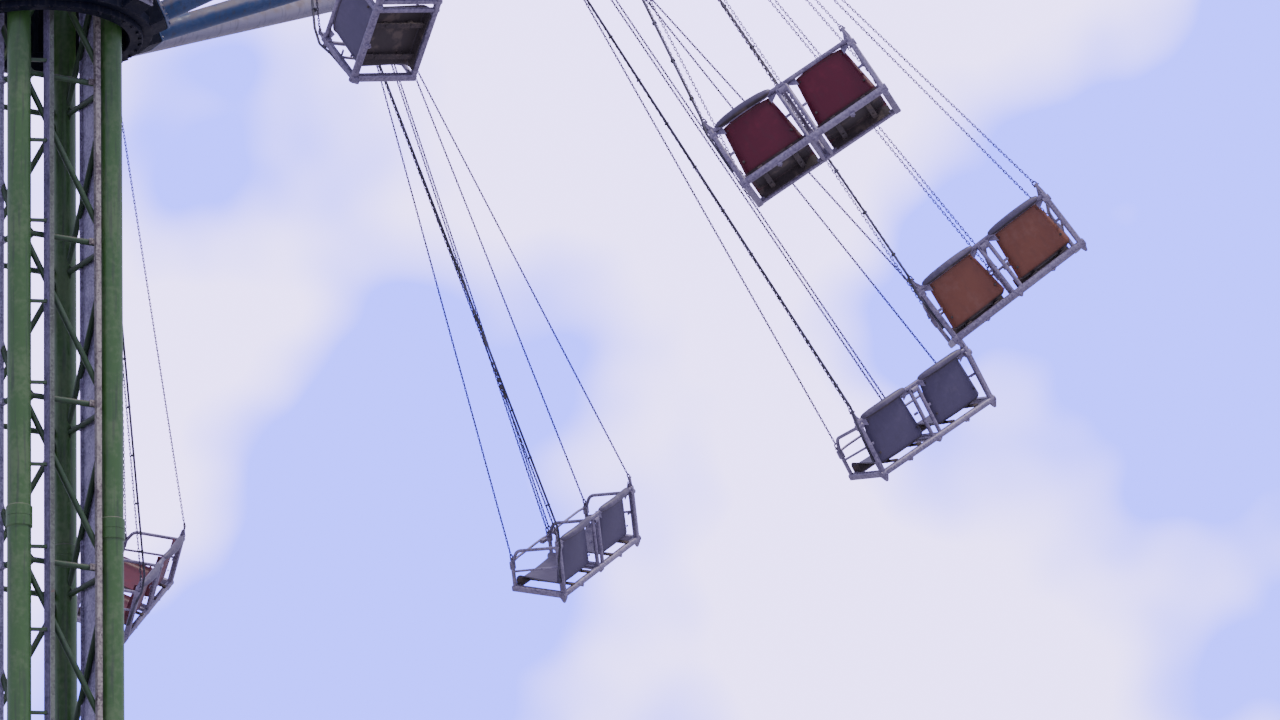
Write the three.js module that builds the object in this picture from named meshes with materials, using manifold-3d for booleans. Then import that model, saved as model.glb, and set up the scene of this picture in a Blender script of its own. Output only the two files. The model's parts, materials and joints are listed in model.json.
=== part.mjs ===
// Tower swing ride: a slim lattice tower, a carriage that climbs it, a turning crown of arms,
// and a double chair on chains under each arm tip. Millimetres, +Z up, origin at the middle of
// the base plate's underside. The chairs are modelled flung out, as they hang while the crown turns.
import * as THREE from "three";
import { mergeVertices } from "three/addons/utils/BufferGeometryUtils.js";
import Module from "manifold-3d";

const wasm = await Module();
wasm.setup();

// Tower
const LEG_CIRCLE = 555; // radius of the circle through the four leg centres
const LEG_D = 184;
const LEG_SIDES = 12;
const FIRST_LEG_DEG = -14.1; // direction of the first leg, the others follow at right angles
const LEG_FOOT_Z = 40.3;
const LEG_TOP_Z = 27550;
const BAY = 1305;
const BAYS = 20;
const FIRST_LEVEL_Z = 760;
const GIRT = 46; // square section of the horizontals
const BRACE = 44; // square section of the diagonals
const BRACE_INSET = 34; // how far a diagonal's end lies in from the horizontal's end

// Guide rails on two opposite sides, and a cable tray and a service rail on the side between them
const RAIL_WIDE = 280;
const RAIL_DEEP = 74;
const FRONT_SIDE = 3; // the side that looks out to the right and towards the viewer
const TRAY_Y = -196; // the tray's near side from the middle of its side of the tower
const TRAY_WIDE = 40;
const TRAY_DEEP = 105;
const TRAY_ARM = 26;
const TRAY_ARM_DROP = 560; // tray arms sit this far below each horizontal
const SERVICE_Y = 234;
const SERVICE_RAIL = 45;
const STRIP_FOOT_Z = 450; // the tray and the service rail start above the legs' sockets
const RAIL_TOP_Z = 27450;
const RAIL_FOOT_Z = 220;

// Base and head
const BASE_SIDE = 1700;
const BASE_THICK = 40;
const SOCKET_WALL = 26;
const SOCKET_TALL = 420;
const SOCKET_MOUTH = 10; // the bore runs this far past the socket's top
const RIB_THICK = 24;
const RIB_LONG = 210;
const RIB_TALL = 300;
const RIB_TOE = 50; // its height at the outer end
const RIB_HEAD = 30; // how far it runs level from the socket
const HEAD_RING_TALL = 150;
const HEAD_CAP_TALL = 260;
const HEAD_OVERHANG = 30; // past the legs' outer sides
const CAP_FOOT = 1.38; // the cap's two radii, as shares of the ring's half width
const CAP_TOP = 0.45;
const MAST_D = 60;
const MAST_SIDES = 8;
const MAST_TALL = 620;

// Crown of arms
const ARMS = 12;
const ARM_STEP_DEG = 360 / ARMS;
const FIRST_ARM_DEG = 27.5;
const ARM_D = 165;
const ARM_SIDES = 12;
const ROOT_R = 930; // where an arm meets its bracket
const TIP_R = 4490; // pin of the chair hanger
const TIP_Z = 26450;
const ARM_RISE_DEG = 23.7;
const TUBE_END_BACK = 150; // the tube stops this far short of the pin
const CHEEK_LAP = 20; // the cheek plates start this far inside the tube's end
const CHEEK_GAP = 62; // between the two cheek plates
const CHEEK_THICK = 12;
const CHEEK_TALL = 120;

// Hub that the arms are bolted to, and the carriage it turns on
const HUB_INNER_R = 760;
const HUB_OUTER_R = 860;
const HUB_LOW_Z = 24880;
const HUB_TOP_Z = 25360;
const HUB_SIDES = 24;
const BRACKET_WIDE = 230;
const BRACKET_TALL = 210;
const BRACKET_IN_R = 815;
const COLLAR_INNER_R = 682;
const COLLAR_OUTER_R = 745;
const COLLAR_TALL = 110;
const SEAT_RING_OUTER_R = 785;
const SEAT_RING_TALL = 50;
const CARRIAGE_TOP_Z = 26000;
const CARRIAGE_POSTS = 8;
const FIRST_POST_DEG = FIRST_LEG_DEG + 67.5; // none stands in front of a guide rail
const POST_SIZE = 50;
const SHOE_WIDE = 150;
const SHOE_TALL = 95;

// Chair, in its own frame: X across the seats, Y the way the riders face, Z up its backs
const CHAIR_WIDE = 1200; // between the centres of its end posts
const CHAIR_DEEP = 474;
const HANG_LENGTH = 5161; // pin to the middle of the chair's floor frame
const CHAIR_PITCH_DEG = 15.7; // the chair leans back under its chains
const SPREADER_DROP = 378;
const SPREADER_WIDE = 396; // between its two outer chain holes
const SPREADER_BAR = 44;
const SPREADER_END = 30; // past each outer hole
const REAR_POST = 468; // middle of the top rail
const REAR_LUG = 575; // top of the lugs on the end posts
const FRONT_POST = 241;
const FLOOR_REAR = 60;
const FLOOR_SIDE = 50;
const FLOOR_FRONT = 40;
const REAR_END = 28; // the rear rail's ends past the end posts
const SIDE_END = 24; // the side rails' ends past the front rail
const POST_WIDE = 50;
const POST_FOOT = 10; // the posts start this far below the floor frame's middle
const FRONT_POST_WIDE = 36;
const MID_POST_WIDE = 112;
const MID_POST_DEEP = 42;
const MID_FLOOR_WIDE = 108;
const TOP_RAIL = 36;
const LAP_BAR = 28;
const LAP_DROP = 8; // its middle below the front posts' tops
const ARMREST = 32;
const ARMREST_FLAT = 28; // the stretch that slopes back to the rear post
const ARMREST_RISE = 100;
const ARMREST_RUN = 70;
const ARMREST_REAR = 430;
const RUNG = 20;
const RUNG_REAR = 250;
const RUNG_FRONT = 150;
const FOOT = 50;
const FOOT_TALL = 72;
const LINE_D = 15; // a chain, or a chain with the cable beside it
const LINE_SIDES = 4;
const REAR_LINE_Z = REAR_LUG - 20; // where the chains meet the chair
const FRONT_LINE_Z = FRONT_POST - 6;
const HANGER_SHANK = 38;
const EYE_TALL = 70; // the eye's foot, where the swivel turns, below the pin
const EYE_TOP = 6;
const PIN_D = 46;
const PIN_SIDES = 12;

// Seats
const SEAT_WIDE = 500; // at the pan
const SEAT_TOP_WIDE = 415;
const SEAT_TOP_Z = 518; // where it has that width, just above the roll
const SEAT_OFFSET = 315; // middle of each seat from the chair's middle
const SHELL = 26;
const PAN_Z = 80;
const PAN_BACK_OFF = 23; // the pan's front edge from the front rail's middle
const PAN_LIP_Z = 5; // how far down its front edge is turned
const BACK_OFF = 8; // the back from the rear posts
const BACK_CURVE = 30; // how far the curve between pan and back reaches
const ROLL_CLEAR = 4; // between the top rail and the roll that hooks over it
const ROLL_WALL = 18;
const ROLL_TOP = 24;
const ROLL_CORNER = 12;
const ROLL_LIP = 22; // how far the roll reaches down behind the rail
const BEARER_WIDE = 40;
const BEARER_Z = FLOOR_SIDE / 2;
const BEARER_IN = 105; // from the front and the rear rail
const BEARER_END = 14; // past the end posts' middles
const BEARER_LAP = 12; // how far a bearer runs up into the pan

// How far each chair swings out, how far the plane it swings in trails its arm, and how far its
// swivel is turned, in degrees
const SWING_DEG = [36.5, 36.1, 39.6, 37, 36, 38, 36.5, 37.5, 36, 36.6, 33.4, 35.5];
const TRAIL_DEG = [5.9, -0.8, -4, 1, 2, 2.5, 2, 3, 4, 9.2, 8.7, 3.8];
const TWIST_DEG = [0, -6.1, -16.7, -4, 3, -2, 5, 0, -3, 3.9, 23.7, -1.1];

const GAP = 0.3; // what two pieces that touch keep between them
const WELD = 5; // how far a welded piece runs into the one that carries it
const SHOULDER = 20; // the same for a heavy piece
const RADIANS = Math.PI / 180;
const X = new THREE.Vector3(1, 0, 0);
const Y = new THREE.Vector3(0, 1, 0);
const Z = new THREE.Vector3(0, 0, 1);

const GREEN = new THREE.MeshStandardMaterial({ color: 0x3f6b3f, roughness: 0.45, metalness: 0.1 });
const GALVANISED = new THREE.MeshStandardMaterial({ color: 0x77717c, roughness: 0.5, metalness: 0.7 });
const BLUE = new THREE.MeshStandardMaterial({ color: 0x2f5c8c, roughness: 0.4, metalness: 0.1 });
const DARK = new THREE.MeshStandardMaterial({ color: 0x1d1f2c, roughness: 0.5, metalness: 0.3 });
const SILVER = new THREE.MeshStandardMaterial({ color: 0x8c8494, roughness: 0.45, metalness: 0.6 });
const RED = new THREE.MeshStandardMaterial({ color: 0x7a2630, roughness: 0.5, metalness: 0 });
const ORANGE = new THREE.MeshStandardMaterial({ color: 0x96563c, roughness: 0.5, metalness: 0 });
const GREY = new THREE.MeshStandardMaterial({ color: 0x5a566a, roughness: 0.5, metalness: 0 });
const SEAT_PAINTS = [GREY, GREY, RED, ORANGE, GREY, RED, ORANGE, GREY, RED, GREY, RED, ORANGE];

// A closed three.js geometry as a solid that can be joined and cut.
function solid(geometry) {
  const bare = geometry.clone();
  bare.deleteAttribute("normal");
  bare.deleteAttribute("uv");
  const merged = mergeVertices(bare, 1e-3);
  return new wasm.Manifold(
    new wasm.Mesh({
      numProp: 3,
      vertProperties: new Float32Array(merged.attributes.position.array),
      triVerts: new Uint32Array(merged.index.array),
    }),
  );
}

function geometryOf(made) {
  const mesh = made.getMesh();
  const geometry = new THREE.BufferGeometry();
  geometry.setAttribute("position", new THREE.BufferAttribute(mesh.vertProperties, 3));
  geometry.setIndex(new THREE.BufferAttribute(mesh.triVerts, 1));
  geometry.computeVertexNormals();
  return geometry;
}

function joined(geometries) {
  const solids = geometries.map(solid);
  return solids.reduce((whole, piece) => whole.add(piece));
}

function polar(radius, degrees, z) {
  const angle = degrees * RADIANS;
  return new THREE.Vector3(radius * Math.cos(angle), radius * Math.sin(angle), z);
}

// The frame of a bar from a to b: its length along Z, and `side` as near as can be along X.
function along(a, b, side) {
  const run = b.clone().sub(a).normalize();
  const second = run.clone().cross(side).normalize();
  const first = second.clone().cross(run);
  const middle = a.clone().add(b).multiplyScalar(0.5);
  return new THREE.Matrix4().makeBasis(first, second, run).setPosition(middle);
}

function bar(a, b, wide, thick, side = X) {
  return new THREE.BoxGeometry(wide, thick, a.distanceTo(b)).applyMatrix4(along(a, b, side));
}

function rod(a, b, diameter, sides, side = X) {
  const round = new THREE.CylinderGeometry(diameter / 2, diameter / 2, a.distanceTo(b), sides);
  round.rotateY(Math.PI / sides).rotateX(Math.PI / 2);
  return round.applyMatrix4(along(a, b, side));
}

function box(low, high) {
  const size = high.clone().sub(low);
  const middle = low.clone().add(high).multiplyScalar(0.5);
  return new THREE.BoxGeometry(size.x, size.y, size.z).translate(middle.x, middle.y, middle.z);
}

// A ring round Z with flat ends.
function ring(inner, outer, low, high, sides) {
  const profile = [
    [inner, low],
    [outer, low],
    [outer, high],
    [inner, high],
    [inner, low],
  ].map(([r, z]) => new THREE.Vector2(r, z));
  return new THREE.LatheGeometry(profile, sides).rotateX(Math.PI / 2);
}

function vec(x, y, z) {
  return new THREE.Vector3(x, y, z);
}

// An outline of [across, up] points drawn out by `depth`, standing on `across` and Z.
function upright(points, across, depth) {
  const outline = new THREE.Shape(points.map(([u, v]) => new THREE.Vector2(u, v)));
  const plate = new THREE.ExtrudeGeometry(outline, { depth, bevelEnabled: false });
  const turn = new THREE.Matrix4().makeBasis(across, Z, across.clone().cross(Z));
  return plate.translate(0, 0, -depth / 2).applyMatrix4(turn);
}

function named(name, geometry, material) {
  const mesh = new THREE.Mesh(geometry, material);
  mesh.name = name;
  return mesh;
}

// One round leg, its flats turned to the two sides of the tower that meet at it.
function towerLeg(number) {
  const degrees = FIRST_LEG_DEG + 90 * number;
  const foot = polar(LEG_CIRCLE, degrees, LEG_FOOT_Z);
  const head = polar(LEG_CIRCLE, degrees, LEG_TOP_Z);
  const tube = rod(foot, head, LEG_D, LEG_SIDES, polar(1, degrees + 45, 0));
  return named("tower_leg_" + (number + 1), tube, GREEN);
}

// One flat side: a horizontal at each level and one diagonal in each bay.
function latticeSide(number) {
  const halfFace = LEG_CIRCLE * Math.SQRT1_2;
  const flat = (LEG_D / 2) * Math.cos(Math.PI / LEG_SIDES);
  const end = halfFace - flat - GAP;
  const inset = end - BRACE_INSET;
  const bars = [];
  for (let level = 0; level <= BAYS; level++) {
    const z = FIRST_LEVEL_Z + level * BAY;
    bars.push(bar(vec(-end, 0, z), vec(end, 0, z), GIRT, GIRT, Z));
    if (level === BAYS) continue;
    bars.push(bar(vec(inset, 0, z), vec(-inset, 0, z + BAY), BRACE, BRACE, Y));
  }
  const side = named("lattice_side_" + (number + 1), geometryOf(joined(bars)), GREEN);
  side.position.copy(polar(halfFace, FIRST_LEG_DEG + 45 + 90 * number, 0));
  side.rotation.z = (FIRST_LEG_DEG + 135 + 90 * number) * RADIANS;
  return side;
}

// A guide rail stands on the outer faces of a side's horizontals.
function guideRail(number) {
  const face = LEG_CIRCLE * Math.SQRT1_2 + GIRT / 2 + GAP;
  const back = vec(face, -RAIL_WIDE / 2, RAIL_FOOT_Z);
  const front = vec(face + RAIL_DEEP, RAIL_WIDE / 2, RAIL_TOP_Z);
  const rail = named("guide_rail_" + (number + 1), box(back, front), GALVANISED);
  rail.rotation.z = (FIRST_LEG_DEG + 45 + 180 * number) * RADIANS;
  return rail;
}

// A strip of box section that stands on the outer faces of the front side's horizontals.
function frontStrip(y, wide, deep) {
  const face = LEG_CIRCLE * Math.SQRT1_2 + GIRT / 2 + GAP;
  return box(vec(face, y, STRIP_FOOT_Z), vec(face + deep, y + wide, RAIL_TOP_Z));
}

function onFrontSide(name, geometry) {
  const strip = named(name, geometry, GALVANISED);
  strip.rotation.z = (FIRST_LEG_DEG + 45 + 90 * FRONT_SIDE) * RADIANS;
  return strip;
}

// The deep, narrow tray for the supply cables, with an arm to the nearest leg in each bay.
function cableTray() {
  const halfFace = LEG_CIRCLE * Math.SQRT1_2;
  const pieces = [frontStrip(TRAY_Y, TRAY_WIDE, TRAY_DEEP)];
  for (let level = 1; level <= BAYS; level++) {
    const z = FIRST_LEVEL_Z + level * BAY - TRAY_ARM_DROP;
    const leg = vec(halfFace, -halfFace, z);
    const tray = vec(halfFace + GIRT / 2 + TRAY_DEEP / 2, TRAY_Y + TRAY_WIDE / 2, z);
    const run = tray.clone().sub(leg).normalize();
    const legEnd = leg.addScaledVector(run, LEG_D / 2 + GAP);
    pieces.push(bar(legEnd, tray, TRAY_ARM, TRAY_ARM, Z));
  }
  return onFrontSide("cable_tray", geometryOf(joined(pieces)));
}

function serviceRail() {
  return onFrontSide("service_rail", frontStrip(SERVICE_Y, SERVICE_RAIL, SERVICE_RAIL));
}

// The base: a bolted plate with a socket for each leg, and two tapered ribs against each socket.
function baseFrame() {
  const half = BASE_SIDE / 2;
  const plate = box(vec(-half, -half, 0), vec(half, half, BASE_THICK));
  plate.rotateZ((FIRST_LEG_DEG + 45) * RADIANS);
  const low = BASE_THICK - WELD;
  const rib = [
    [0, low],
    [RIB_LONG, low],
    [RIB_LONG, BASE_THICK + RIB_TOE],
    [RIB_HEAD, BASE_THICK + RIB_TALL],
    [0, BASE_THICK + RIB_TALL],
  ];
  const pieces = [plate];
  const bores = [];
  for (let number = 0; number < 4; number++) {
    const degrees = FIRST_LEG_DEG + 90 * number;
    const side = polar(1, degrees + 45, 0);
    const socket = [polar(LEG_CIRCLE, degrees, low), polar(LEG_CIRCLE, degrees, SOCKET_TALL)];
    pieces.push(rod(...socket, LEG_D + 2 * SOCKET_WALL, LEG_SIDES, side));
    for (const turn of [-45, 45]) {
      const foot = polar(LEG_CIRCLE, degrees, 0).add(polar(LEG_D / 2 + WELD, degrees + turn, 0));
      const fin = upright(rib, polar(1, degrees + turn, 0), RIB_THICK);
      pieces.push(fin.translate(foot.x, foot.y, 0));
    }
    const bottom = polar(LEG_CIRCLE, degrees, LEG_FOOT_Z - GAP);
    const above = polar(LEG_CIRCLE, degrees, SOCKET_TALL + SOCKET_MOUTH);
    bores.push(rod(bottom, above, LEG_D + 2 * GAP, LEG_SIDES, side));
  }
  return named("base_frame", geometryOf(joined(pieces).subtract(joined(bores))), GREEN);
}

// The head: a square ring on the four legs, a low cap and a short beacon mast.
function towerHead() {
  const low = LEG_TOP_Z + GAP;
  const half = LEG_CIRCLE * Math.SQRT1_2 + LEG_D / 2 + HEAD_OVERHANG;
  const slab = new THREE.BoxGeometry(2 * half, 2 * half, HEAD_RING_TALL);
  slab.translate(0, 0, low + HEAD_RING_TALL / 2);
  const cap = new THREE.CylinderGeometry(half * CAP_TOP, half * CAP_FOOT, HEAD_CAP_TALL, 4, 1);
  cap.rotateY(Math.PI / 4).rotateX(Math.PI / 2);
  cap.translate(0, 0, low + HEAD_RING_TALL + HEAD_CAP_TALL / 2 - WELD);
  const mastFoot = vec(0, 0, low + HEAD_RING_TALL + HEAD_CAP_TALL - SHOULDER);
  const mast = rod(mastFoot, mastFoot.clone().add(vec(0, 0, MAST_TALL)), MAST_D, MAST_SIDES);
  const head = named("tower_head", geometryOf(joined([slab, cap, mast])), GREEN);
  head.rotation.z = (FIRST_LEG_DEG + 45) * RADIANS;
  return head;
}

// The carriage: two collars round the tower, posts between them, the ring the hub rests on,
// and shoes that reach in to the guide rails.
function carriageFrame() {
  const seatTop = HUB_LOW_Z - GAP;
  const seatLow = seatTop - SEAT_RING_TALL;
  const pieces = [
    ring(COLLAR_INNER_R, SEAT_RING_OUTER_R, seatLow, seatTop, HUB_SIDES),
    ring(COLLAR_INNER_R, COLLAR_OUTER_R, seatTop - WELD, seatTop + COLLAR_TALL, HUB_SIDES),
    ring(COLLAR_INNER_R, COLLAR_OUTER_R, CARRIAGE_TOP_Z - COLLAR_TALL, CARRIAGE_TOP_Z, HUB_SIDES),
  ];
  const postR = (COLLAR_INNER_R + COLLAR_OUTER_R) / 2;
  for (let number = 0; number < CARRIAGE_POSTS; number++) {
    const degrees = FIRST_POST_DEG + number * (360 / CARRIAGE_POSTS);
    const low = polar(postR, degrees, seatTop + SHOULDER);
    const high = polar(postR, degrees, CARRIAGE_TOP_Z - SHOULDER);
    pieces.push(bar(low, high, POST_SIZE, POST_SIZE, polar(1, degrees, 0)));
  }
  const railFace = LEG_CIRCLE * Math.SQRT1_2 + GIRT / 2 + GAP + RAIL_DEEP;
  for (const turn of [0, 180]) {
    const degrees = FIRST_LEG_DEG + 45 + turn;
    for (const z of [seatTop + COLLAR_TALL / 2, CARRIAGE_TOP_Z - COLLAR_TALL / 2]) {
      const inner = polar(railFace + GAP, degrees, z);
      const outer = polar(postR, degrees, z);
      pieces.push(bar(inner, outer, SHOE_WIDE, SHOE_TALL, polar(1, degrees + 90, 0)));
    }
  }
  return named("carriage_frame", geometryOf(joined(pieces)), DARK);
}

// The turning hub with a bracket for each arm, its outer face square to the arm.
function hub() {
  const pieces = [ring(HUB_INNER_R, HUB_OUTER_R, HUB_LOW_Z, HUB_TOP_Z, HUB_SIDES)];
  const reach = (ROOT_R - BRACKET_IN_R) / Math.cos(ARM_RISE_DEG * RADIANS);
  for (let number = 0; number < ARMS; number++) {
    const degrees = FIRST_ARM_DEG + number * ARM_STEP_DEG;
    const { root, run } = armLine(degrees);
    const inner = root.clone().addScaledVector(run, -reach);
    pieces.push(bar(inner, root, BRACKET_WIDE, BRACKET_TALL, polar(1, degrees + 90, 0)));
  }
  return named("hub", geometryOf(joined(pieces)), DARK);
}

function armLine(degrees) {
  const rise = Math.tan(ARM_RISE_DEG * RADIANS);
  const root = polar(ROOT_R, degrees, TIP_Z - (TIP_R - ROOT_R) * rise);
  const tip = polar(TIP_R, degrees, TIP_Z);
  return { root, tip, run: tip.clone().sub(root).normalize() };
}

// One arm: a round tube with two cheek plates at its end.
function arm(number) {
  const degrees = FIRST_ARM_DEG + number * ARM_STEP_DEG;
  const { root, tip, run } = armLine(degrees);
  const start = root.clone().addScaledVector(run, GAP);
  const end = tip.clone().addScaledVector(run, -TUBE_END_BACK);
  const pieces = [rod(start, end, ARM_D, ARM_SIDES, polar(1, degrees + 90, 0))];
  const swingTo = degrees - TRAIL_DEG[number];
  const across = polar(1, swingTo + 90, 0);
  const forkRun = polar(Math.cos(ARM_RISE_DEG * RADIANS), swingTo, Math.sin(ARM_RISE_DEG * RADIANS));
  for (const sign of [-1, 1]) {
    const shift = across.clone().multiplyScalar((sign * (CHEEK_GAP + CHEEK_THICK)) / 2);
    const back = tip.clone().addScaledVector(forkRun, -TUBE_END_BACK - CHEEK_LAP).add(shift);
    const front = tip.clone().addScaledVector(forkRun, CHEEK_TALL / 2).add(shift);
    pieces.push(bar(back, front, CHEEK_THICK, CHEEK_TALL, across));
  }
  return named("arm_" + String(number + 1).padStart(2, "0"), geometryOf(joined(pieces)), BLUE);
}

// The tubular frame of a double chair with its chains, spreader, swivel and pin, in the hanging
// frame: the pin at the origin, Z up the chains. All that hangs below the swivel is turned by it.
function chairFrame(twist) {
  const halfWide = CHAIR_WIDE / 2;
  const pieces = [...crossRails(), ...[-halfWide, 0, halfWide].flatMap(chairSide)];
  const chair = hung(joined(pieces)).add(joined(chains())).rotate([0, 0, twist]);
  const halfPin = CHEEK_GAP / 2 - GAP;
  const pin = rod(vec(0, -halfPin, 0), vec(0, halfPin, 0), PIN_D, PIN_SIDES);
  const eye = bar(vec(0, 0, -EYE_TALL), vec(0, 0, EYE_TOP), HANGER_SHANK, HANGER_SHANK);
  return chair.add(joined([pin, eye]));
}

// The rails that run across the chair: rear and front floor rails, top rail and lap bar.
function crossRails() {
  const halfWide = CHAIR_WIDE / 2;
  const rear = -CHAIR_DEEP / 2;
  const front = CHAIR_DEEP / 2;
  const rail = (half, y, z, size) => bar(vec(-half, y, z), vec(half, y, z), size, size, Y);
  return [
    rail(halfWide + REAR_END, rear, 0, FLOOR_REAR),
    rail(halfWide, front, 0, FLOOR_FRONT),
    rail(halfWide, rear, REAR_POST, TOP_RAIL),
    rail(halfWide, front, FRONT_POST - LAP_DROP, LAP_BAR),
  ];
}

// What stands in one upright plane of the chair: floor rail, rear and front post, armrest, foot.
function chairSide(x) {
  const rear = -CHAIR_DEEP / 2;
  const front = CHAIR_DEEP / 2;
  const middle = x === 0;
  const bend = vec(x, front - ARMREST_RUN, FRONT_POST + ARMREST_RISE);
  const rearTop = vec(x, rear, middle ? REAR_POST : REAR_LUG);
  const postWide = middle ? MID_POST_WIDE : POST_WIDE;
  const postDeep = middle ? MID_POST_DEEP : POST_WIDE;
  const floorWide = middle ? MID_FLOOR_WIDE : FLOOR_SIDE;
  const pieces = [
    bar(vec(x, rear, 0), vec(x, front + SIDE_END, 0), floorWide, FLOOR_SIDE),
    bar(vec(x, rear, -POST_FOOT), rearTop, postWide, postDeep),
    bar(vec(x, front, 0), vec(x, front, FRONT_POST), FRONT_POST_WIDE, FRONT_POST_WIDE),
    bar(vec(x, front, FRONT_POST - ARMREST / 2), bend, ARMREST, ARMREST),
    bar(bend, vec(x, rear, ARMREST_REAR), ARMREST_FLAT, ARMREST_FLAT),
    box(vec(x - FOOT / 2, rear - FOOT / 2, -FOOT_TALL), vec(x + FOOT / 2, rear + FOOT / 2, 0)),
  ];
  if (!middle) pieces.push(bar(vec(x, rear, RUNG_REAR), vec(x, front, RUNG_FRONT), RUNG, RUNG));
  return pieces;
}

// Where a point of the chair's own frame lies in the hanging frame.
function onChair(x, y, z) {
  return vec(x, y, z).applyAxisAngle(X, CHAIR_PITCH_DEG * RADIANS).add(vec(0, 0, -HANG_LENGTH));
}

// A solid of the chair's own frame, moved to its place in the hanging frame.
function hung(made) {
  return made.rotate([CHAIR_PITCH_DEG, 0, 0]).translate([0, 0, -HANG_LENGTH]);
}

function chains() {
  const halfWide = CHAIR_WIDE / 2;
  const halfSpread = SPREADER_WIDE / 2;
  const halfBar = halfSpread + SPREADER_END;
  const front = CHAIR_DEEP / 2;
  const top = -SPREADER_DROP;
  const pieces = [
    bar(vec(0, 0, top), vec(0, 0, SHOULDER - EYE_TALL), HANGER_SHANK, HANGER_SHANK),
    bar(vec(-halfBar, 0, top), vec(halfBar, 0, top), SPREADER_BAR, SPREADER_BAR, Y),
  ];
  const corners = [
    [-halfSpread, -halfWide, -front, REAR_LINE_Z],
    [-halfSpread, -halfWide, front, FRONT_LINE_Z],
    [0, 0, front, FRONT_LINE_Z],
    [halfSpread, halfWide, -front, REAR_LINE_Z],
    [halfSpread, halfWide, front, FRONT_LINE_Z],
  ];
  for (const [spreadX, x, y, z] of corners)
    pieces.push(rod(vec(spreadX, 0, top), onChair(x, y, z), LINE_D, LINE_SIDES));
  return pieces;
}

// One seat's side view: pan, back, and the roll at its top that hooks over the top rail.
function seatProfile() {
  const rear = -CHAIR_DEEP / 2;
  const panFront = CHAIR_DEEP / 2 - PAN_BACK_OFF;
  const backFoot = rear + POST_WIDE / 2 + BACK_OFF;
  const slotHalf = TOP_RAIL / 2 + ROLL_CLEAR;
  const slotTop = REAR_POST + slotHalf;
  const rollHalf = slotHalf + ROLL_WALL;
  const rollTop = slotTop + ROLL_TOP;
  return [
    [panFront, PAN_Z + ROLL_CLEAR],
    [panFront, PAN_LIP_Z],
    [panFront - SHELL, PAN_LIP_Z],
    [panFront - SHELL, PAN_Z + ROLL_CLEAR - SHELL],
    [backFoot + ROLL_CORNER, PAN_Z - SHELL],
    [backFoot, PAN_Z],
    [rear + slotHalf, slotTop],
    [rear - slotHalf, slotTop],
    [rear - slotHalf, REAR_POST - ROLL_LIP],
    [rear - rollHalf, REAR_POST - ROLL_LIP],
    [rear - rollHalf, rollTop - ROLL_CORNER],
    [rear - rollHalf + ROLL_CORNER, rollTop],
    [rear + rollHalf - ROLL_CORNER, rollTop],
    [rear + rollHalf, rollTop - ROLL_CORNER],
    [backFoot + SHELL, PAN_Z + BACK_CURVE],
    [backFoot + SHELL + BACK_CURVE, PAN_Z],
  ];
}

// Both seats of a chair on the two bearers that carry them. A seat is narrower at its top.
function chairSeats() {
  const fromBehind = [
    [-SEAT_WIDE / 2, 0],
    [SEAT_WIDE / 2, 0],
    [SEAT_WIDE / 2, PAN_Z],
    [SEAT_TOP_WIDE / 2, SEAT_TOP_Z],
    [-SEAT_TOP_WIDE / 2, SEAT_TOP_Z],
    [-SEAT_WIDE / 2, PAN_Z],
  ];
  const whole = solid(upright(seatProfile(), Y, SEAT_WIDE));
  const seat = whole.intersect(solid(upright(fromBehind, X, 2 * CHAIR_DEEP)));
  const rear = -CHAIR_DEEP / 2;
  const end = CHAIR_WIDE / 2 + BEARER_END;
  const bearerTop = PAN_Z - SHELL + BEARER_LAP;
  const bearers = [rear + BEARER_IN, -rear - BEARER_IN].map((y) =>
    box(vec(-end, y - BEARER_WIDE / 2, BEARER_Z + GAP), vec(end, y + BEARER_WIDE / 2, bearerTop)),
  );
  const seats = [-SEAT_OFFSET, SEAT_OFFSET].map((x) => seat.translate([x, 0, 0]));
  return hung(seats[0].add(seats[1]).add(joined(bearers)));
}

// A group at one arm's pin, turned so that its Z points up the chains.
function hangingGroup(number) {
  const degrees = FIRST_ARM_DEG + number * ARM_STEP_DEG;
  const group = new THREE.Group();
  group.position.copy(polar(TIP_R, degrees, TIP_Z));
  group.rotation.set(0, -SWING_DEG[number] * RADIANS, (degrees - TRAIL_DEG[number]) * RADIANS, "ZYX");
  return group;
}

const ride = new THREE.Group();
ride.add(baseFrame());
for (let number = 0; number < 4; number++) ride.add(towerLeg(number), latticeSide(number));
for (let number = 0; number < 2; number++) ride.add(guideRail(number));
ride.add(cableTray(), serviceRail(), towerHead(), carriageFrame());

const rotor = new THREE.Group();
rotor.add(hub());
const seatShape = geometryOf(chairSeats());
for (let number = 0; number < ARMS; number++) {
  const label = String(number + 1).padStart(2, "0");
  rotor.add(arm(number));
  const frameShape = geometryOf(chairFrame(TWIST_DEG[number]));
  const seats = named("chair_" + label + "_seats", seatShape, SEAT_PAINTS[number]);
  seats.rotation.z = TWIST_DEG[number] * RADIANS;
  const hanging = hangingGroup(number);
  hanging.add(named("chair_" + label + "_frame", frameShape, SILVER), seats);
  rotor.add(hanging);
}
ride.add(rotor);

export default ride;
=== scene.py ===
import json
from math import atan2, cos, pi, radians, sin, tan

import bmesh
import bpy
from mathutils import Matrix, Vector


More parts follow.
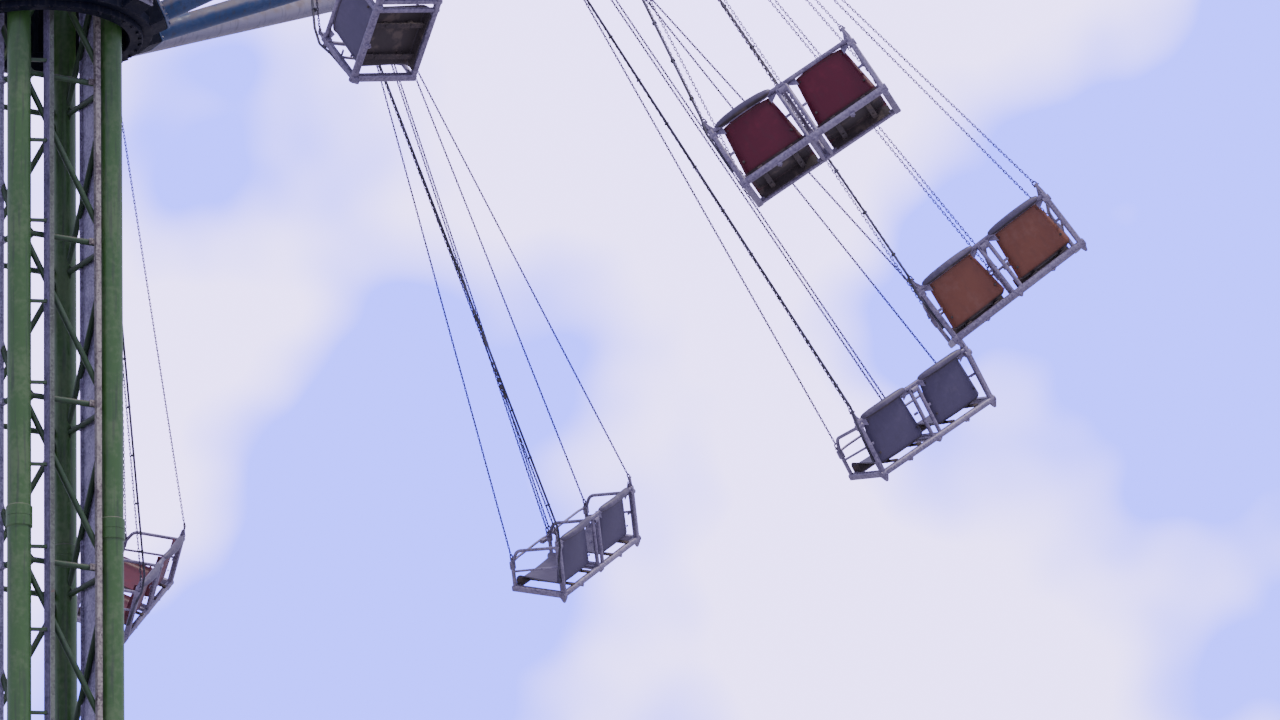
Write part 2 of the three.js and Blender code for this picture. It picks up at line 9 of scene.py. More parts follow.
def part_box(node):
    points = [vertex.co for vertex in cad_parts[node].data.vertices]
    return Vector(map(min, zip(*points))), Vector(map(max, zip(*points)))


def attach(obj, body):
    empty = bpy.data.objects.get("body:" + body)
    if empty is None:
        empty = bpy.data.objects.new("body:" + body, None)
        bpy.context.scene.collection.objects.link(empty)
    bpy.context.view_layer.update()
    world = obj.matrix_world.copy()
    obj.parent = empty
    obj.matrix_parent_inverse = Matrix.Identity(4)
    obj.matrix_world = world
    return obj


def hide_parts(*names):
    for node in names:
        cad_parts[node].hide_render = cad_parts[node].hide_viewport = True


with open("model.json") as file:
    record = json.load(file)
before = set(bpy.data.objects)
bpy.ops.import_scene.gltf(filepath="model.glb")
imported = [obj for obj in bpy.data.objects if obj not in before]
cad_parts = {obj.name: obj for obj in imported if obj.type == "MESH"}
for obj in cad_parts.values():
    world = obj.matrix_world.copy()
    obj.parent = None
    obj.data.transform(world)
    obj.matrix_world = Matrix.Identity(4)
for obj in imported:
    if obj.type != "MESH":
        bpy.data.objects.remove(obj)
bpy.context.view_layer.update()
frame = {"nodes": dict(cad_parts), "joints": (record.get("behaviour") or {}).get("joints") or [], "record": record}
joints = {joint["name"]: joint for joint in frame["joints"]}

# Camera, light and floor
# The ride is seen from eye height, 62 m from the tower, through a long lens that looks up at its crown.
# A lavender sky with thin white cloud stands behind it and lights it softly, and a wide soft sun shines
# from the right.
CAMERA_PLACE = Vector((4.586, -62.0, 1.555))
LOOK_UP = radians(18.22)
CAMERA_ROLL = radians(-1.375)
LENS = 239.4
SENSOR = 36.0
SKY_BLUE = (0.12, 0.13, 1.0, 1.0)
SKY_CLOUD = (0.58, 0.47, 1.0, 1.0)
SKY_SEEN_STRENGTH = 5.6
CLOUD_SCALE = 20.0
CLOUD_FROM = 0.44
CLOUD_FULL = 0.56
CLOUD_DETAIL = 3.0
CLOUD_ROUGH = 0.45
SKY_LIGHT = (0.66, 0.62, 0.97, 1.0)
SKY_LIGHT_STRENGTH = 1.22
SUN_STRENGTH = 2.5
SUN_COLOUR = (1.0, 0.9, 0.82)
SUN_SPREAD = radians(15)
SUN_TILT = (radians(26), radians(12), radians(20))
FLOOR_HALF = 4000.0
FLOOR_BELOW = 0.003
FLOOR_PALE = (0.42, 0.41, 0.44, 1.0)
FLOOR_ROUGH = 0.9


def feed(tree, made, feeds):
    """Sets the inputs of a node: a socket is linked to one, and any other value is set as its own."""
    for label, value in feeds.items():
        if isinstance(value, bpy.types.NodeSocket):
            tree.links.new(value, made.inputs[label])
        else:
            made.inputs[label].default_value = value


def node(tree, kind, feeds=None, **settings):
    """Adds a node to a tree: settings are its own properties, feeds its inputs, as values or sockets."""
    made = tree.nodes.new(kind)
    for label, value in settings.items():
        setattr(made, label, value)
    feed(tree, made, feeds or {})
    return made


def noise(tree, place, scale, detail, rough=0.5):
    """A cloud of values from 0 to 1."""
    feeds = {"Vector": place, "Scale": scale, "Detail": detail, "Roughness": rough}
    return node(tree, "ShaderNodeTexNoise", feeds).outputs[0]


def mixed(tree, part, first, second):
    """One colour going over into another by a share."""
    return node(tree, "ShaderNodeMix", {0: part, 6: first, 7: second}, data_type="RGBA").outputs[2]


def show(thing, name):
    """Makes an object of a mesh, a light or a camera, and puts it in the scene."""
    made = bpy.data.objects.new(name, thing)
    bpy.context.scene.collection.objects.link(made)
    return made


lens = bpy.data.cameras.new("camera")
lens.lens = LENS
lens.sensor_width = SENSOR
lens.clip_end = 2 * FLOOR_HALF
camera = show(lens, "camera")
turn = Matrix.Rotation(pi / 2 + LOOK_UP, 4, "X") @ Matrix.Rotation(CAMERA_ROLL, 4, "Z")
camera.matrix_world = Matrix.Translation(CAMERA_PLACE) @ turn
bpy.context.scene.camera = camera

world = bpy.data.worlds.new("hazy_sky")
bpy.context.scene.world = world
world.use_nodes = True
sky = world.node_tree
gaze = node(sky, "ShaderNodeTexCoord").outputs["Generated"]
puffs = noise(sky, gaze, CLOUD_SCALE, CLOUD_DETAIL, CLOUD_ROUGH)
cloudy = node(sky, "ShaderNodeMapRange", {"Value": puffs, "From Min": CLOUD_FROM, "From Max": CLOUD_FULL})
shades = mixed(sky, cloudy.outputs[0], SKY_BLUE, SKY_CLOUD)
seen = node(sky, "ShaderNodeBackground", {"Color": shades, "Strength": SKY_SEEN_STRENGTH})
light = sky.nodes["Background"]
feed(sky, light, {"Color": SKY_LIGHT, "Strength": SKY_LIGHT_STRENGTH})
direct = node(sky, "ShaderNodeLightPath").outputs["Is Camera Ray"]
both = node(sky, "ShaderNodeMixShader", {0: direct, 1: light.outputs[0], 2: seen.outputs[0]})
sky.links.new(both.outputs[0], sky.nodes["World Output"].inputs["Surface"])

sun_light = bpy.data.lights.new("sun", "SUN")
sun_light.energy = SUN_STRENGTH
sun_light.color = SUN_COLOUR
sun_light.angle = SUN_SPREAD
sun = show(sun_light, "sun")
sun.rotation_euler = SUN_TILT

floor_mesh = bpy.data.meshes.new("floor")
floor_corners = ((-1, -1), (1, -1), (1, 1), (-1, 1))
floor_points = [(x * FLOOR_HALF, y * FLOOR_HALF, -FLOOR_BELOW) for x, y in floor_corners]
floor_mesh.from_pydata(floor_points, [], [(0, 1, 2, 3)])
floor_paint = bpy.data.materials.new("pale_floor")
floor_paint.use_nodes = True
floor_surface = floor_paint.node_tree.nodes["Principled BSDF"]
feed(floor_paint.node_tree, floor_surface, {"Base Color": FLOOR_PALE, "Roughness": FLOOR_ROUGH})
floor_mesh.materials.append(floor_paint)
floor = show(floor_mesh, "floor")

# Base plate
# A square steel plate, bolted down round its edge, with a welded socket and two ribs for each leg.
# It has the tower's green gloss paint, which has faded, gathered dirt and worn off along its edges.
BASE_SIDE = 1.7
BASE_THICK = 0.04
PLATE_EDGE = 0.005
LEG_RADIUS = 0.092
SOCKET_RADIUS = 0.118
SOCKET_TALL = 0.42
SOCKET_FOOT = 0.03
SOCKET_WELD = 0.014
BORE_GAP = 0.002
CHAMFER = 0.006
WELD_SINK = 0.004
RIB_END = 0.307
RIB_TALL = 0.34
RIB_TOE = 0.09
RIB_HEAD = 0.03
RIB_THICK = 0.024
ANCHOR_INSET = 0.085
ANCHOR_PLACES = (-0.66, -0.24, 0.24, 0.66)
ANCHOR_SIZE = 0.036
ANCHOR_STUD = 0.03
GREEN = (0.042, 0.116, 0.027, 1.0)
GREEN_FADED = (0.078, 0.146, 0.054, 1.0)
DIRT = (0.030, 0.030, 0.034, 1.0)
DUST = (0.19, 0.15, 0.145, 1.0)
BARE_STEEL = (0.22, 0.20, 0.20, 1.0)
SHARP = radians(32)


class Shape:
    """The points and faces of one piece, gathered part by part."""

    def __init__(self):
        self.points = []
        self.faces = []

    def add(self, points, faces):
        """Takes in points, and faces whose corners count from the first of them."""
        first = len(self.points)
        self.points.extend(Vector(point) for point in points)
        self.faces.extend([first + corner for corner in face] for face in faces)

    def move(self, matrix):
        """Moves all that has been gathered so far."""
        self.points = [matrix @ point for point in self.points]


def skin(shape, rings, closed=False):
    """Joins rings of like points into a closed skin: the end rings are capped, or joined to each other."""
    count = len(rings[0])
    faces = []
    for near in range(len(rings) if closed else len(rings) - 1):
        far = (near + 1) % len(rings)
        for corner in range(count):
            after = (corner + 1) % count
            lower = [near * count + corner, near * count + after]
            faces.append(lower + [far * count + after, far * count + corner])
    if not closed:
        faces.append(list(range(count))[::-1])
        faces.append([(len(rings) - 1) * count + corner for corner in range(count)])
    shape.add([point for ring in rings for point in ring], faces)


def axes(run, side):
    """Two unit vectors across a run: the first as near as can be to side."""
    second = run.cross(side).normalized()
    return second.cross(run).normalized(), second


def bar(shape, start, end, wide, tall, side, edge=0.003):
    """A bar of rectangular section, wide towards side, with all its edges taken off."""
    run = (end - start).normalized()
    first, second = axes(run, side)
    rings = []
    for place, less in ((start, edge), (start + run * edge, 0), (end - run * edge, 0), (end, edge)):
        x = wide / 2 - less
        y = tall / 2 - less
        corner = edge if not less else edge * 0.4
        section = [(x, y - corner), (x - corner, y), (corner - x, y), (-x, y - corner)]
        section += [(-x, corner - y), (corner - x, -y), (x - corner, -y), (x, corner - y)]
        rings.append([place + first * a + second * b for a, b in section])
    skin(shape, rings)


def tube(shape, path, radius, sides=16, closed=False):
    """A round bar along a path of points; radius is one number, or one for each point."""
    count = len(path)
    radii = radius if isinstance(radius, (list, tuple)) else [radius] * count
    rings = []
    first = None
    for index, place in enumerate(path):
        before = path[index - 1] if index or closed else place
        after = path[(index + 1) % count] if index + 1 < count or closed else place
        run = (after - before).normalized()
        if first is None:
            first = axes(run, Vector((1, 0, 0)) if abs(run.x) < 0.9 else Vector((0, 1, 0)))[0]
        first, second = axes(run, first)
        turns = [2 * pi * side / sides for side in range(sides)]
        rings.append([place + (first * cos(a) + second * sin(a)) * radii[index] for a in turns])
    skin(shape, rings, closed)


def turned(shape, profile, place, sides=32, closed=False):
    """A turned part: profile is radius and height up the place's Z; closed leaves it a ring with a bore."""
    rings = []
    for radius, height in profile:
        turns = [2 * pi * side / sides for side in range(sides)]
        rings.append([place @ Vector((radius * cos(a), radius * sin(a), height)) for a in turns])
    skin(shape, rings, closed)


def inset(outline, by):
    """An outline drawn in by the same distance all round."""
    moved = []
    for index, point in enumerate(outline):
        before = (point - outline[index - 1]).normalized()
        after = (outline[(index + 1) % len(outline)] - point).normalized()
        first = Vector((-before.y, before.x))
        second = Vector((-after.y, after.x))
        moved.append(point + (first + second) * (by / (1 + first.dot(second))))
    return moved


def plate(shape, outline, place, thick, edge=0.002):
    """A flat plate: a counter-clockwise outline in the place's XY, as thick as said either side of it."""
    corners = [Vector(corner) for corner in outline]
    rings = []
    half = thick / 2
    for height, less in ((-half, edge), (edge - half, 0), (half - edge, 0), (half, edge)):
        ring = inset(corners, less) if less else corners
        rings.append([place @ Vector((corner.x, corner.y, height)) for corner in ring])
    skin(shape, rings)


def placed(origin, z, x):
    """A frame at origin with its Z along z and its X as near as can be to x."""
    upward = z.normalized()
    first, _ = axes(upward, x)
    second = upward.cross(first)
    matrix = Matrix((first, second, upward)).transposed().to_4x4()
    matrix.translation = origin
    return matrix


def bolt(shape, place, size, stud=0.0):
    """A hexagon head of that thread size on a washer, with the end of a stud where one stands out."""
    washer = size * 0.2
    top = washer + size * 0.7
    chamfer = size * 0.1
    turned(shape, [(size * 1.1, 0), (size * 1.1, washer)], place, 16)
    turned(shape, [(size * 0.9, washer * 0.9), (size * 0.9, top - chamfer), (size * 0.8, top)], place, 6)
    if stud:
        end = [(size / 2, top * 0.9), (size / 2, top + stud), (size * 0.4, top + stud * 1.1)]
        turned(shape, end, place, 12)


def meshed(name, shape, material):
    """A mesh of a shape, its faces turned outwards and shaded smooth up to its sharp edges."""
    mesh = bpy.data.meshes.new(name)
    mesh.from_pydata(shape.points, [], shape.faces)
    work = bmesh.new()
    work.from_mesh(mesh)
    bmesh.ops.recalc_face_normals(work, faces=work.faces)
    work.to_mesh(mesh)
    work.free()
    mesh.polygons.foreach_set("use_smooth", [True] * len(mesh.polygons))
    mesh.set_sharp_from_angle(angle=SHARP)
    mesh.materials.append(material)
    return mesh


def fit(name, mesh, body, stands_for=(), place=None):
    """Puts a mesh on a body of the ride, as the piece of that name."""
    made = show(mesh, name)
    if place:
        made.matrix_world = place
    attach(made, body)
    if stands_for:
        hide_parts(*stands_for)


def build(name, shape, material, body, stands_for=()):
    """Makes a piece of a shape that is already in its place."""
    fit(name, meshed(name, shape, material), body, stands_for)


def tree_of(name, takes, gives):
    """An empty shader node group, its inputs with their usual values, and its outputs: all are numbers."""
    tree = bpy.data.node_groups.new(name, "ShaderNodeTree")
    for label, usual in takes.items():
        taken = tree.interface.new_socket(label, in_out="INPUT", socket_type="NodeSocketFloat")
        taken.default_value = usual
    for label in gives:
        tree.interface.new_socket(label, in_out="OUTPUT", socket_type="NodeSocketFloat")
    return tree, tree.nodes.new("NodeGroupInput").outputs, tree.nodes.new("NodeGroupOutput")


def number(tree, operation, first, second):
    """A sum, product or the like of two numbers, each a value or a socket."""
    return node(tree, "ShaderNodeMath", {0: first, 1: second}, operation=operation).outputs[0]


def product(tree, first, second):
    """One number times another."""
    return number(tree, "MULTIPLY", first, second)


def total(tree, first, second):
    """One number and another added up."""
    return number(tree, "ADD", first, second)


def vectors(tree, operation, first, second, result=0):
    """A sum, product or the like of two vectors."""
    return node(tree, "ShaderNodeVectorMath", {0: first, 1: second}, operation=operation).outputs[result]


def bumped(tree, height, strength, distance=0.001):
    """A surface normal roughened by a height."""
    feeds = {"Strength": strength, "Distance": distance, "Height": height}
    return node(tree, "ShaderNodeBump", feeds).outputs[0]


def share(tree, value, low, high):
    """How far a value has come from low to high, from 0 to 1."""
    feeds = {"Value": value, "From Min": low, "From Max": high}
    return node(tree, "ShaderNodeMapRange", feeds, interpolation_type="SMOOTHSTEP").outputs["Result"]


def weathering():
    """Blotches of dirt and long runs of it down the piece, different on each piece."""
    tree, takes, gives = tree_of("weathering", {"Size": 1.0}, ("Dirt", "Runs", "Grain"))
    own = node(tree, "ShaderNodeTexCoord").outputs["Object"]
    chance = node(tree, "ShaderNodeObjectInfo").outputs["Random"]
    offset = node(tree, "ShaderNodeCombineXYZ", {0: product(tree, chance, 37.0), 1: chance}).outputs[0]
    place = vectors(tree, "ADD", own, offset)
    broad = noise(tree, place, product(tree, takes["Size"], 2.3), 5.0)
    fine = noise(tree, place, product(tree, takes["Size"], 24.0), 6.0)
    both = total(tree, product(tree, broad, 0.6), product(tree, fine, 0.4))
    drawn_out = vectors(tree, "MULTIPLY", place, (1.0, 1.0, 0.07))
    runs = noise(tree, drawn_out, product(tree, takes["Size"], 30.0), 3.0)
    dirt = share(tree, both, 0.44, 0.62)
    feed(tree, gives, {"Dirt": dirt, "Runs": share(tree, runs, 0.5, 0.72), "Grain": fine})
    return tree


def edge_wear():
    """Where paint has gone from the edges, broken up by a fine noise."""
    tree, takes, gives = tree_of("edge_wear", {"Reach": 0.004, "Amount": 0.5}, ("Wear",))
    rounded = node(tree, "ShaderNodeBevel", {"Radius": takes["Reach"]}, samples=4).outputs[0]
    normal = node(tree, "ShaderNodeNewGeometry").outputs["Normal"]
    bend = vectors(tree, "DOT_PRODUCT", rounded, normal, "Value")
    edge = share(tree, number(tree, "SUBTRACT", 1.0, bend), 0.01, 0.12)
    own = node(tree, "ShaderNodeTexCoord").outputs["Object"]
    worn = share(tree, noise(tree, own, 45.0, 4.0), 0.46, 0.6)
    feed(tree, gives, {"Wear": product(tree, product(tree, edge, worn), takes["Amount"])})
    return tree


def settled_dust():
    """Dust on what faces up, thin and uneven: it reaches down the sides as far as From says."""
    tree, takes, gives = tree_of("settled_dust", {"Amount": 0.5, "From": 0.15}, ("Dust",))
    coords = node(tree, "ShaderNodeTexCoord").outputs
    up = node(tree, "ShaderNodeSeparateXYZ", {0: coords["Normal"]}).outputs["Z"]
    lying = share(tree, up, takes["From"], total(tree, takes["From"], 0.6))
    patches = share(tree, noise(tree, coords["Object"], 9.0, 5.0), 0.25, 0.7)
    feed(tree, gives, {"Dust": product(tree, product(tree, lying, patches), takes["Amount"])})
    return tree


WEATHERING = weathering()
EDGE_WEAR = edge_wear()
SETTLED_DUST = settled_dust()


def grouped(tree, group, **feeds):
    """Places a node group in a material, with its own values."""
    return node(tree, "ShaderNodeGroup", feeds, node_tree=group).outputs


def finish_of(name):
    """A new material with its node tree and its surface shader."""
    material = bpy.data.materials.new(name)
    material.use_nodes = True
    return material, material.node_tree, material.node_tree.nodes["Principled BSDF"]


def painted(
    name, paint, faded, gloss, size=1.0, wear=0.6, dust_and_sheen=0.5, dust_and_sheen_from=0.15, dust_and_sheen_colour=DUST, shine=0.5
):
    """Gloss paint on steel: faded in blotches, streaked, dusty on top, bare along its edges; the dust can also
    stand as a painted highlight.
    """
    material, tree, surface = finish_of(name)
    weather = grouped(tree, WEATHERING, Size=size)
    bare = grouped(tree, EDGE_WEAR, Reach=0.004, Amount=wear)["Wear"]
    settled_dust_and_sheen = grouped(tree, SETTLED_DUST, Amount=dust_and_sheen, From=dust_and_sheen_from)["Dust"]
    colour = mixed(tree, weather["Dirt"], paint, faded)
    colour = mixed(tree, product(tree, weather["Runs"], 0.45), colour, DIRT)
    colour = mixed(tree, settled_dust_and_sheen, colour, dust_and_sheen_colour)
    rough = total(tree, product(tree, weather["Dirt"], 0.18), gloss)
    feeds = {
        "Base Color": mixed(tree, bare, colour, BARE_STEEL),
        "Roughness": total(tree, rough, product(tree, settled_dust_and_sheen, 0.4)),
        "Metallic": bare,
        "Specular IOR Level": shine,
        "Normal": bumped(tree, weather["Grain"], 0.25, 0.002),
    }
    feed(tree, surface, feeds)
    return material


tower_green = painted("tower_green_paint", GREEN, GREEN_FADED, 0.33)


def middle(name):
    """The middle of a solid's box."""
    low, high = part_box(name)
    return (low + high) / 2


legs = [middle(f"tower_leg_{corner}") for corner in range(1, 5)]
foot_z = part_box("tower_leg_1")[0].z
head_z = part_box("tower_leg_1")[1].z
UP = Vector((0, 0, 1))


def flat(vector):
    """A vector brought down to the ground."""
    return Vector((vector.x, vector.y, 0))


def outward(side):
    """The way that a side of the tower faces."""
    return flat(legs[side] + legs[(side + 1) % 4]).normalized()


base = Shape()
bar(base, Vector((0, 0, 0)), UP * BASE_THICK, BASE_SIDE, BASE_SIDE, outward(0), PLATE_EDGE)
bore = LEG_RADIUS + BORE_GAP
collar = SOCKET_RADIUS + SOCKET_WELD
for leg in legs:
    foot = flat(leg)
    socket = [(bore, SOCKET_FOOT), (collar, SOCKET_FOOT), (collar, SOCKET_FOOT + SOCKET_WELD)]
    socket += [(SOCKET_RADIUS, 2 * SOCKET_FOOT), (SOCKET_RADIUS, SOCKET_TALL - CHAMFER)]
    socket += [(SOCKET_RADIUS - CHAMFER, SOCKET_TALL), (bore, SOCKET_TALL)]
    turned(base, socket, Matrix.Translation(foot), 40, closed=True)
    for swing in (-pi / 4, pi / 4):
        away = Matrix.Rotation(swing, 3, "Z") @ foot.normalized()
        start = SOCKET_RADIUS - WELD_SINK
        low = BASE_THICK - WELD_SINK
        corners = [(start, low), (RIB_END, low), (RIB_END, RIB_TOE)]
        corners += [(start + RIB_HEAD, RIB_TALL), (start, RIB_TALL)]
        plate(base, corners, placed(foot, away.cross(UP), away), RIB_THICK)
for side in range(4):
    edge_line = outward(side) * (BASE_SIDE / 2 - ANCHOR_INSET)
    for reach in ANCHOR_PLACES:
        spot = edge_line + outward(side).cross(UP) * reach + UP * BASE_THICK
        bolt(base, placed(spot, UP, outward(side)), ANCHOR_SIZE, ANCHOR_STUD)
build("base_plate", base, tower_green, "tower", ["base_frame"])

# Tower legs
# Four round steel tubes stand in the sockets and carry everything.
# Each is made up of lengths joined by bolted sleeves every five bays.
BAY = 1.305
BAYS = 20
FIRST_LEVEL = 0.76
SLEEVE_RADIUS = 0.102
SLEEVE_HALF = 0.09
SLEEVE_TAPER = 0.012
SLEEVE_SEAM = 0.002
SEAM_DEEP = 0.003
SLEEVE_BAYS = (5, 10, 15)
SLEEVE_UP = 0.32
LEVELS = [FIRST_LEVEL + level * BAY for level in range(BAYS + 1)]
for number_of_leg, leg in enumerate(legs, 1):
    leg_tube = Shape()
    line = flat(leg)
    tube(leg_tube, [line + UP * foot_z, line + UP * head_z], LEG_RADIUS, 48)
    for level in SLEEVE_BAYS:
        z = LEVELS[level] + SLEEVE_UP
        low = z - SLEEVE_HALF
        high = z + SLEEVE_HALF
        sleeve = [(LEG_RADIUS - WELD_SINK / 2, low), (SLEEVE_RADIUS, low + SLEEVE_TAPER)]
        sleeve += [(SLEEVE_RADIUS, z - SLEEVE_SEAM), (SLEEVE_RADIUS - SEAM_DEEP, z)]
        sleeve += [(SLEEVE_RADIUS, z + SLEEVE_SEAM), (SLEEVE_RADIUS, high - SLEEVE_TAPER)]
        sleeve += [(LEG_RADIUS - WELD_SINK / 2, high)]
        turned(leg_tube, sleeve, Matrix.Translation(line), 48)
    name = f"tower_leg_tube_{number_of_leg}"
    build(name, leg_tube, tower_green, "tower", [f"tower_leg_{number_of_leg}"])

# Tower sides
# Round tubes are welded between neighbouring legs: a horizontal at each level, one diagonal in each bay.
# Small gusset plates stiffen the ends of the horizontals. All is the tower's green made darker, as painted shade.
GIRT_RADIUS = 0.023
BRACE_RADIUS = 0.024
BRACE_OFF = 0.07
BRACE_SINK = 0.02
GUSSET = 0.06
GUSSET_THICK = 0.008
# A darker copy of the tower's green: painted shade on the bracing and the tray arms.
SHADED_GREEN = (0.022, 0.062, 0.020, 1.0)
SHADED_GREEN_FADED = (0.038, 0.078, 0.038, 1.0)
bracing_shaded_green = painted("bracing_shaded_green_paint", SHADED_GREEN, SHADED_GREEN_FADED, 0.38, size=1.6)
for side in range(4):
    bracing = Shape()
    first, second = flat(legs[side]), flat(legs[(side + 1) % 4])
    centre = (first + second) / 2
    along = (second - first).normalized()
    reach = (second - first).length / 2 - LEG_RADIUS + WELD_SINK
    for z in LEVELS:
        height = centre + UP * z
        tube(bracing, [height - along * reach, height + along * reach], GIRT_RADIUS, 14)
        for way in (-1, 1):
            corner = placed(height + along * way * reach, outward(side), -along * way)
            gusset = [(0, -GUSSET), (GUSSET, 0), (0, GUSSET)]
            if z == LEVELS[0]:
                gusset[0 if way < 0 else 2] = (0, 0)
            plate(bracing, gusset, corner, GUSSET_THICK)
        if z < LEVELS[-1]:
            low = height + along * (reach + BRACE_SINK) + UP * BRACE_OFF
            high = height - along * (reach + BRACE_SINK) + UP * (BAY - BRACE_OFF)
            tube(bracing, [low, high], BRACE_RADIUS, 14)
    name = f"tower_bracing_{side + 1}"
    build(name, bracing, bracing_shaded_green, "tower", [f"lattice_side_{side + 1}"])

# Guide rails
# On two opposite sides a steel channel with two running faces is clamped to the horizontals. The toothed
# rack between them is what the carriage climbs by. All of it is hot-dip galvanised, and rusty where the
# rollers run.
RAIL_WIDE = 0.27
RAIL_DEEP = 0.074
WEB_THICK = 0.012
RUNNER_WIDE = 0.044
RUNNER_AWAY = 0.112
RACK_WIDE = 0.052
RACK_ROOT = 0.022
TOOTH_PITCH = 0.06
TOOTH_DEEP = 0.024
RAIL_EDGE_WIDE = 0.010
RAIL_EDGE_DEEP = 0.028
RAIL_EDGE_BACK = 0.026
RAIL_EDGE_INSET = 0.006
SEAT_GAP = 0.001
CLAMP = 0.05
CLAMP_BACK = 0.03
CLAMP_AHEAD = 0.016
CLAMP_BOLT = 0.014
# The lilac in the rails' light zinc colour is a painted sky reflection on the grey zinc, made light for shaded
# faces.
SKY_SHEEN_ZINC = (0.50, 0.47, 0.64, 1.0)
ZINC_DARK = (0.19, 0.18, 0.27, 1.0)
RUST = (0.16, 0.085, 0.06, 1.0)
# The runners' pale tone is lifted as painted light, because the service rail stands in shade; their rust is real.
RUNNER_PAINTED_LIGHT = (0.37, 0.35, 0.32, 1.0)
RUNNER_BROWN = (0.10, 0.08, 0.085, 1.0)


def zinc_flower():
    """The frosted crystals of hot-dip zinc, and its light and dark patches."""
    tree, takes, gives = tree_of("zinc_flower", {"Size": 1.0}, ("Tone", "Frost", "Stain"))
    size = takes["Size"]
    own = node(tree, "ShaderNodeTexCoord").outputs["Object"]
    crystals = node(tree, "ShaderNodeTexVoronoi", {"Vector": own, "Scale": product(tree, size, 70.0)})
    grey = node(tree, "ShaderNodeRGBToBW", {0: crystals.outputs["Color"]}).outputs[0]
    cloud = noise(tree, own, product(tree, size, 6.0), 5.0)
    spots = noise(tree, own, product(tree, size, 14.0), 8.0, 0.7)
    tone = total(tree, product(tree, grey, 0.45), product(tree, cloud, 0.7))
    feed(tree, gives, {"Tone": tone, "Frost": grey, "Stain": share(tree, spots, 0.62, 0.75)})
    return tree


ZINC_FLOWER = zinc_flower()


def galvanised(name, light, dark, size=1.0, rust=0.3, metal=0.3, rough=0.42):
    """Zinc-coated steel, dull and patchy, with rust where the coat has gone."""
    material, tree, surface = finish_of(name)
    flower = grouped(tree, ZINC_FLOWER, Size=size)
    weather = grouped(tree, WEATHERING, Size=size * 2)
    rusty = product(tree, flower["Stain"], rust)
    colour = mixed(tree, share(tree, flower["Tone"], 0.25, 0.85), dark, light)
    colour = mixed(tree, rusty, colour, RUST)
    feeds = {
        "Base Color": mixed(tree, product(tree, weather["Runs"], 0.35), colour, dark),
        "Roughness": total(tree, product(tree, flower["Frost"], 0.2), rough),
        "Metallic": product(tree, number(tree, "SUBTRACT", 1.0, rusty), metal),
        "Normal": bumped(tree, flower["Tone"], 0.3),
    }
    feed(tree, surface, feeds)
    return material


# The rails' zinc carries a painted sky reflection in its lilac tone.
rail_sky_sheen_zinc = galvanised("rail_sky_sheen_zinc", SKY_SHEEN_ZINC, ZINC_DARK, rust=0.5)
runner_steel = galvanised("runner_steel", RUNNER_PAINTED_LIGHT, RUNNER_BROWN, size=0.9, rust=0.9, rough=0.5)


def tooth(shape, place):
    """One rack tooth standing out along the place's Z."""
    half = RACK_WIDE / 2
    rings = []
    for height, reach in ((-0.002, TOOTH_PITCH * 0.36), (TOOTH_DEEP, TOOTH_PITCH * 0.17)):
        corners = ((half, reach), (-half, reach), (-half, -reach), (half, -reach))
        rings.append([place @ Vector((x, y, height)) for x, y in corners])
    skin(shape, rings)


def rail_strip(shape, out, ends, back, away, wide, deep):
    """An upright strip: back is its distance from the tower's axis, away that from the rail's middle."""
    line = out * (back + deep / 2) + out.cross(UP) * away
    bar(shape, line + UP * ends[0], line + UP * ends[1], wide, deep, out.cross(UP))


for number_of_rail, side in ((1, 0), (2, 2)):
    rail = Shape()
    runners = Shape()
    out = outward(side)
    across = out.cross(UP)
    low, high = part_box(f"guide_rail_{number_of_rail}")
    ends = (low.z, high.z)
    inner = flat(low + high).length / 2 - RAIL_DEEP / 2
    face = inner + WEB_THICK + SEAT_GAP
    runner_deep = RAIL_DEEP - WEB_THICK - SEAT_GAP
    edge_away = RAIL_WIDE / 2 - RAIL_EDGE_INSET
    rail_strip(rail, out, ends, inner, 0, RAIL_WIDE, WEB_THICK)
    for way in (-1, 1):
        rail_strip(runners, out, ends, face, way * RUNNER_AWAY, RUNNER_WIDE, runner_deep)
        rail_strip(rail, out, ends, inner - RAIL_EDGE_BACK, way * edge_away, RAIL_EDGE_WIDE, RAIL_EDGE_DEEP)
    rail_strip(runners, out, ends, face, 0, RACK_WIDE, RACK_ROOT)
    teeth = int((high.z - low.z) / TOOTH_PITCH)
    for step in range(teeth):
        z = low.z + (step + 0.5) * TOOTH_PITCH
        tooth(runners, placed(out * (inner + WEB_THICK + RACK_ROOT) + UP * z, out, across))
    for z in LEVELS:
        for way in (-1, 1):
            spot = out * (inner + WEB_THICK / 2) + across * way * (RAIL_WIDE / 2 + CLAMP * 0.35) + UP * z
            bar(rail, spot - out * CLAMP_BACK, spot + out * CLAMP_AHEAD, CLAMP, CLAMP, across)
            bolt(rail, placed(spot + out * CLAMP_AHEAD, out, across), CLAMP_BOLT)
    name = f"guide_rail_rack_{number_of_rail}"
    build(name, rail, rail_sky_sheen_zinc, "tower", [f"guide_rail_{number_of_rail}"])
    name = f"guide_rail_runners_{number_of_rail}"
    build(name, runners, runner_steel, "tower")

